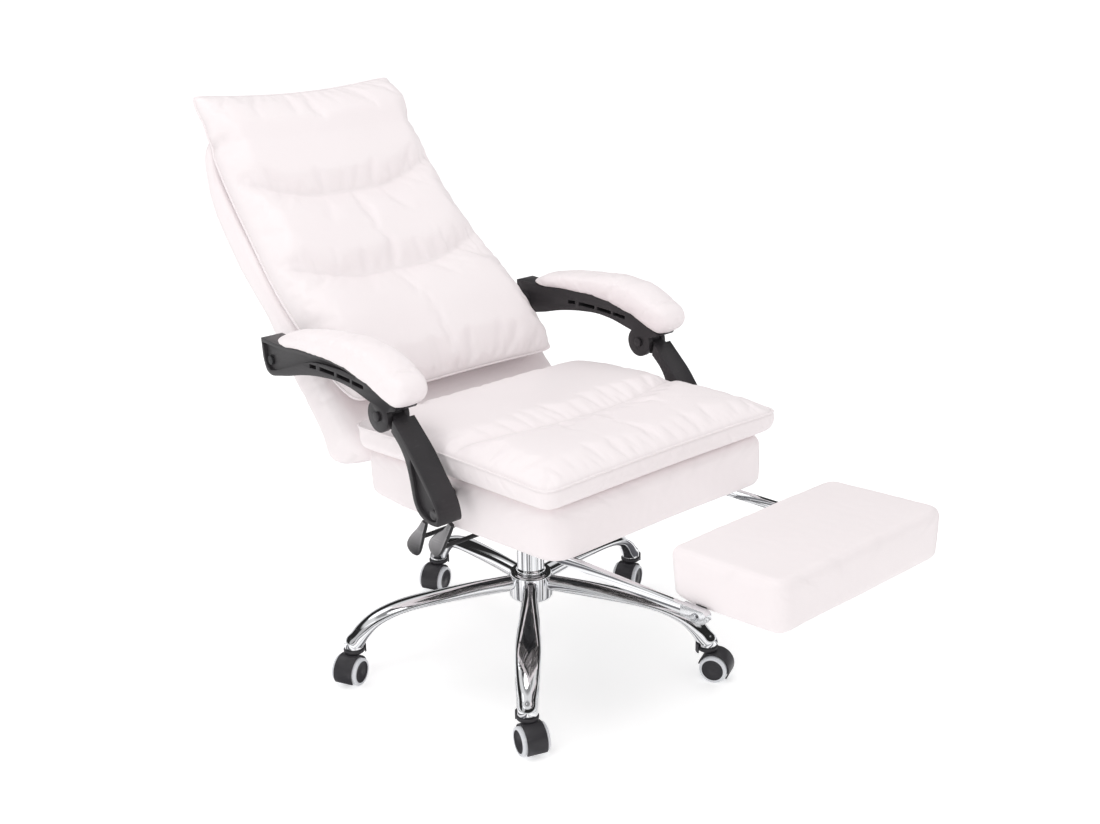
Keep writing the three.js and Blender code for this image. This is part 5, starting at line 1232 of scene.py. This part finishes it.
def upper_arm(label, side):
    tongue = (side * (ARM_OFFSET - TONGUE_HALF - TONGUE_GAP),
              side * (ARM_OFFSET + TONGUE_HALF + TONGUE_GAP))
    inner, outer = side * INNER_FACE, side * OUTER_FACE
    past, before = side * (OUTER_FACE + OVERRUN), side * (INNER_FACE - OVERRUN)
    pocket_floor = side * (OUTER_FACE - POCKET_DEPTH)
    windows = [(prism, window_outline(*shares), before, past) for shares in ARM_WINDOW_SHARES]
    outline = curved(arm_points(ARM_TOP_SHARES)) + curved(arm_points(ARM_UNDER_SHARES))
    bm = carved((prism, outline, inner, outer), [
        ("UNION", [(drum, REAR_BOSS, side * SHELL_SIDE, side * (INNER_FACE + OVERRUN), ARM_REAR)]),
        ("UNION", [(drum, ELBOW_DISC, inner, outer, ELBOW, DISC_SIDES)]),
        ("DIFFERENCE", [(drum, CLEAR_DISC, *tongue, ELBOW, DISC_SIDES)]),
        ("DIFFERENCE", [(prism, curved(arm_points(ARM_POCKET_SHARES)), pocket_floor, past)]),
        ("DIFFERENCE", [(drum, REAR_HEAD_BORE, pocket_floor, past, ARM_REAR)] + windows),
        ("DIFFERENCE", [(drum, BOLT_BORE, before, past, ELBOW, BORE_SIDES),
                        (drum, REAR_BORE, 0.0, past, ARM_REAR, BORE_SIDES)]),
    ])
    finished(f"upper_arm_moulded_{label}", softened(bm, UPPER_ARM_ROUND), f"upper_arm_{label}",
             [CHARCOAL], [f"upper_arm_{label}"], 32)


def lower_arm(label, side):
    inner, outer = side * INNER_FACE, side * OUTER_FACE
    tongue = (side * (ARM_OFFSET - TONGUE_HALF), side * (ARM_OFFSET + TONGUE_HALF))
    past, before = side * (OUTER_FACE + OVERRUN), side * (INNER_FACE - OVERRUN)
    pocket_floor = side * (OUTER_FACE - POCKET_DEPTH)
    neck = [(ELBOW[0], ELBOW[1] + TONGUE_DISC / 4),
            *lower_points([LOWER_ARM_SHARES[0], LOWER_ARM_SHARES[1], LOWER_ARM_SHARES[15],
                           LOWER_ARM_SHARES[16]]),
            (ELBOW[0], ELBOW[1] - TONGUE_DISC / 2.2)]
    bm = carved((prism, curved(lower_points(LOWER_ARM_SHARES)), inner, outer), [
        ("DIFFERENCE", [(drum, CLEAR_DISC, before, tongue[0], ELBOW, DISC_SIDES),
                        (drum, CLEAR_DISC, tongue[1], past, ELBOW, DISC_SIDES)]),
        ("DIFFERENCE", [(prism, curved(lower_points(LOWER_POCKET_SHARES)), pocket_floor, past)]),
        ("UNION", [(drum, TONGUE_DISC, *tongue, ELBOW, DISC_SIDES)]),
        ("UNION", [(prism, neck, *tongue)]),
        ("UNION", [(drum, FOOT_CAP, side * (OUTER_FACE - POCKET_DEPTH - OVERRUN),
                    side * (OUTER_FACE - 0.3 * MM), ARM_CAP)]),
        ("UNION", [(drum, FOOT_BOSS, side * SEAT_SIDE, side * (INNER_FACE + OVERRUN), ARM_FOOT)]),
        ("DIFFERENCE", [(drum, BOLT_BORE, before, past, ELBOW, BORE_SIDES),
                        (drum, BOLT_BORE, side * FOOT_BORE_START, side * (INNER_FACE + FOOT_BORE_DEPTH),
                         ARM_FOOT, BORE_SIDES)]),
    ])
    finished(f"lower_arm_moulded_{label}", softened(bm, LOWER_ARM_ROUND), f"lower_arm_{label}",
             [CHARCOAL], [f"lower_arm_{label}"], 32)


# Levers: rows of place in X, Y and Z, half width and half thickness, in millimetres
RECLINE_LEVER_ROWS = [(35, -262, 351, 5, 4.2), (32, -262.5, 344, 6.5, 5), (26, -264, 331, 9, 5.2),
                      (18, -266, 316, 13.5, 5), (10, -267.5, 301, 16.5, 4.6), (5, -268, 291, 14, 4),
                      (3, -268.3, 286.5, 6, 2.6)]
HEIGHT_LEVER_ROWS = [(106, -261.5, 369, 4.5, 4.2), (102, -262, 362, 6, 5), (94, -263.5, 349, 8.5, 5.2),
                     (83, -265, 336, 13, 5), (71, -266, 321, 16.5, 5), (62, -267, 310, 14, 4.2),
                     (58, -267.3, 305, 6, 2.6)]
LEVER_FACE_LEAN = Vector((0.2, -0.95, 0.25)).normalized()
LEVER_STALK, STALK_INNER, STALK_OUTER = 0.0075, -0.222, -0.262
RECLINE_ROD, HEIGHT_ROD = (0.028, 0.322), (0.085, 0.322)
LEVER_STEPS, LEVER_SIDES, LEVER_SQUARE, LEVER_FACE_SHARE = 33, 32, 0.6, 0.8


def lever_handle(name, rows, rod):
    """A moulded paddle that hangs down from a stalk on its rod, with a satin face."""
    bm = bmesh.new()
    table = smoothed_rows([[value * MM for value in row] for row in rows], LEVER_STEPS)
    rings = []
    for k, row in enumerate(table):
        ahead = Vector(table[min(k + 1, len(table) - 1)][:3])
        behind = Vector(table[max(k - 1, 0)][:3])
        way = (ahead - behind).normalized()
        wide = way.cross(LEVER_FACE_LEAN).normalized()
        ring = Matrix.Identity(4)
        ring.col[0][:3] = wide * row[3]
        ring.col[1][:3] = way.cross(wide) * row[4]
        ring.col[2][:3] = way
        ring.col[3][:3] = row[:3]
        rings.append(ring)
    tube(bm, rings, LEVER_SIDES, square=LEVER_SQUARE)
    bmesh.ops.recalc_face_normals(bm, faces=bm.faces)
    for face in bm.faces:
        face.material_index = 1 if face.normal.dot(LEVER_FACE_LEAN) > LEVER_FACE_SHARE else 0
    drum(bm, LEVER_STALK, STALK_INNER, STALK_OUTER, rod, 28)
    finished(f"{name}_handle_moulded", bm, name, [BLACK_PAINT, LEVER_SATIN],
             [f"{name}_handle"], 60)


# Footrest end blocks: X and Z in the rail's own line, in millimetres
RAIL_TILT, RAIL_LEVEL, RAIL_MIDDLE, BLOCK_HALF = 2.0, 0.3438, 0.197, 0.0065
BLOCK_OUTLINE = [(560, 9.3), (603, 9.3), (607, 7.0), (609, 2), (608, -4), (603, -10), (595, -13),
                 (584, -13), (575, -11), (566, -9), (560, -8.6)]
BLOCK_HOLLOW = [(550, 7.9), (575, 7.9), (575, -7.9), (550, -7.9)]
HOLLOW_HALF, BLOCK_ROUND = 5.3 * MM, 0.9 * MM


def on_rail(points):
    """Points of the rail's own line, stood in the chair."""
    lean = math.radians(RAIL_TILT)
    c, s = math.cos(lean), math.sin(lean)
    return [((x * c - z * s) * MM, (x * s + z * c) * MM + RAIL_LEVEL) for x, z in points]


def end_block(label, side):
    middle = side * RAIL_MIDDLE
    hollow = (prism, on_rail(BLOCK_HOLLOW), middle - HOLLOW_HALF, middle + HOLLOW_HALF)
    bm = carved((prism, on_rail(BLOCK_OUTLINE), middle - BLOCK_HALF, middle + BLOCK_HALF),
                [("DIFFERENCE", [hollow])])
    finished(f"footrest_end_block_cast_{label}", softened(bm, BLOCK_ROUND), "footrest_frame",
             [SATIN_ZINC], [f"footrest_end_block_{label}"], 40)


# Putting it together

FINE_ROUND, BOLT_ROUND, PLATE_ROUND = 0.5 * MM, 0.6 * MM, 0.8 * MM

star_base()
gas_lift()
for index in range(LEG_COUNT):
    caster_hood(index)
    caster_wheel(index, "left", 1)
    caster_wheel(index, "right", -1)

back_shell()
back_pad()
seat_pad()
boxed("seat_cushion", SEAT_FRAME, SEAT_CUSHION_FORM, "seat", (60, 60), 0.003, 12.0)
boxed("footrest_pad", FOOTREST_FRAME, FOOTREST_PAD_FORM, "footrest", (44, 64), 0.002, 40.0)
for label, side in (("left", 1), ("right", -1)):
    arm_pad(label)
    upper_arm(label, side)
    lower_arm(label, side)
    end_block(label, side)
    rounded_piece(f"elbow_bolt_{label}", BOLT_ROUND, finish=CHARCOAL)
    rounded_piece(f"arm_rear_bolt_{label}", BOLT_ROUND)
    rounded_piece(f"footrest_rail_{label}", PLATE_ROUND)
    rounded_piece(f"footrest_pivot_bolt_{label}", FINE_ROUND)
    rounded_piece(f"rail_guide_{label}", PLATE_ROUND)
rounded_piece("seat_mechanism", PLATE_ROUND)
rounded_piece("seat_hinge_bracket", BOLT_ROUND)
rounded_piece("footrest_board", FINE_ROUND)
lever_handle("recline_lever", RECLINE_LEVER_ROWS, RECLINE_ROD)
lever_handle("height_lever", HEIGHT_LEVER_ROWS, HEIGHT_ROD)

for node, shown in frame["nodes"].items():
    shown.data.materials.clear()
    shown.data.materials.append(BLACK_PAINT if node.endswith("lever_rod") else FINISH[SLOT_OF[node]])


# Stage, light and camera: each lamp has its place, goal, size and power in watts

FLOOR_HALF, FLOOR_GLOW, WORLD_STRENGTH = 30.0, (0.3, 0.42), 0.85
SKY_BANDS = ((0.10, 0.9), (0.17, 0.02), (0.54, 0.03), (0.62, 0.9), (0.80, 0.95), (0.86, 0.35), (0.93, 0.35))
LAMPS = {
    "key_light": ((0.4, -0.9, 3.3), (0, 0, 0.5), 1.6, 17),
    "side_light": ((0.2, -2.9, 1.5), (0, 0, 0.45), 2.0, 5),
    "rear_light": ((-2.4, -0.6, 2.6), (-0.2, 0, 0.6), 1.6, 5),
}
CAMERA_PLACE = (1.7946, -1.5551, 1.3067)
CAMERA_YAW, CAMERA_PITCH, CAMERA_ROLL = 2.411, -0.3382, -0.0135
SENSOR_WIDTH, LENS, FAR_CLIP = 36.0, 46.38, 200


def pale_floor():
    """White for the eye; plated metal sees dark bands on it, as from flags round a studio table."""
    bm = bmesh.new()
    bmesh.ops.create_grid(bm, x_segments=1, y_segments=1, size=FLOOR_HALF)
    mesh = bpy.data.meshes.new("floor")
    bm.to_mesh(mesh)
    bm.free()
    floor = bpy.data.objects.new("floor", mesh)
    bpy.context.scene.collection.objects.link(floor)
    material, tree, shader, place = blank("pale_floor")
    cloud = placed(tree, MOTTLE, place, Scale=0.6, Contrast=0.6)
    heading = tree.nodes.new("ShaderNodeVectorMath")
    heading.operation = "NORMALIZE"
    tree.links.new(place, heading.inputs[0])
    fan = tree.nodes.new("ShaderNodeMapRange")
    fan.inputs["From Min"].default_value, fan.inputs["From Max"].default_value = 0.42, 0.55
    tree.links.new(noise_node(tree, heading.outputs[0], 4.2, 1.0).outputs["Fac"], fan.inputs["Value"])
    streaks = blended(tree, fan.outputs["Result"], (0.10, 0.10, 0.11), (1.0, 1.0, 1.0))
    path = tree.nodes.new("ShaderNodeLightPath")
    plain = blended(tree, cloud, (0.89, 0.89, 0.89), (0.91, 0.91, 0.91))
    seen = blended(tree, path.outputs["Is Glossy Ray"], plain, streaks)
    tree.links.new(seen, shader.inputs["Base Color"])
    tree.links.new(seen, shader.inputs["Emission Color"])
    shader.inputs["Roughness"].default_value = 0.9
    glow = ranged(tree, path.outputs["Is Camera Ray"], *FLOOR_GLOW)
    tree.links.new(glow, shader.inputs["Emission Strength"])
    mesh.materials.append(material)


def soft_light(name, place, goal, size, power):
    data = bpy.data.lights.new(name, "AREA")
    data.shape = "DISK"
    data.size = size
    data.energy = power
    lamp = bpy.data.objects.new(name, data)
    lamp.location = place
    lamp.rotation_euler = (Vector(goal) - Vector(place)).to_track_quat("-Z", "Y").to_euler()
    bpy.context.scene.collection.objects.link(lamp)


def studio_world():
    """White for the eye and the cushions; plated metal sees a dark band above the horizon."""
    world = bpy.data.worlds.new("studio")
    bpy.context.scene.world = world
    world.use_nodes = True
    tree = world.node_tree
    shader = tree.nodes["Background"]
    way = tree.nodes.new("ShaderNodeTexCoord").outputs["Generated"]
    split = tree.nodes.new("ShaderNodeSeparateXYZ")
    tree.links.new(way, split.inputs[0])
    ramp = tree.nodes.new("ShaderNodeValToRGB")
    tree.links.new(split.outputs["Z"], ramp.inputs["Fac"])
    stops = ramp.color_ramp.elements
    stops[0].position, stops[0].color = 0.0, (0.9, 0.9, 0.92, 1)
    stops[1].position, stops[1].color = 1.0, (1.0, 1.0, 1.0, 1)
    for position, tone in SKY_BANDS:
        stop = stops.new(position)
        stop.color = (tone, tone, tone, 1)
    path = tree.nodes.new("ShaderNodeLightPath")
    sky = blended(tree, path.outputs["Is Glossy Ray"], (1.0, 1.0, 1.0), ramp.outputs["Color"])
    tree.links.new(sky, shader.inputs["Color"])
    shader.inputs["Strength"].default_value = WORLD_STRENGTH


def photo_camera():
    """Stands where the photograph was taken from: place, heading, pitch and roll."""
    yaw, pitch, roll = CAMERA_YAW, CAMERA_PITCH, CAMERA_ROLL
    ahead = Vector((math.cos(yaw) * math.cos(pitch), math.sin(yaw) * math.cos(pitch), math.sin(pitch)))
    side = ahead.cross(AXIS["z"]).normalized()
    up = side.cross(ahead)
    c, s = math.cos(roll), math.sin(roll)
    right, top = side * c + up * s, up * c - side * s
    stand = Matrix.Identity(4)
    for column, way in enumerate((right, top, -ahead)):
        stand.col[column][:3] = way
    stand.col[3][:3] = CAMERA_PLACE
    data = bpy.data.cameras.new("photo_camera")
    data.sensor_fit = "HORIZONTAL"
    data.sensor_width = SENSOR_WIDTH
    data.lens = LENS
    data.clip_end = FAR_CLIP
    camera = bpy.data.objects.new("photo_camera", data)
    bpy.context.scene.collection.objects.link(camera)
    camera.matrix_world = stand
    bpy.context.scene.camera = camera


pale_floor()
studio_world()
for name, lamp in LAMPS.items():
    soft_light(name, *lamp)
photo_camera()
bpy.context.scene.view_settings.view_transform = "Standard"
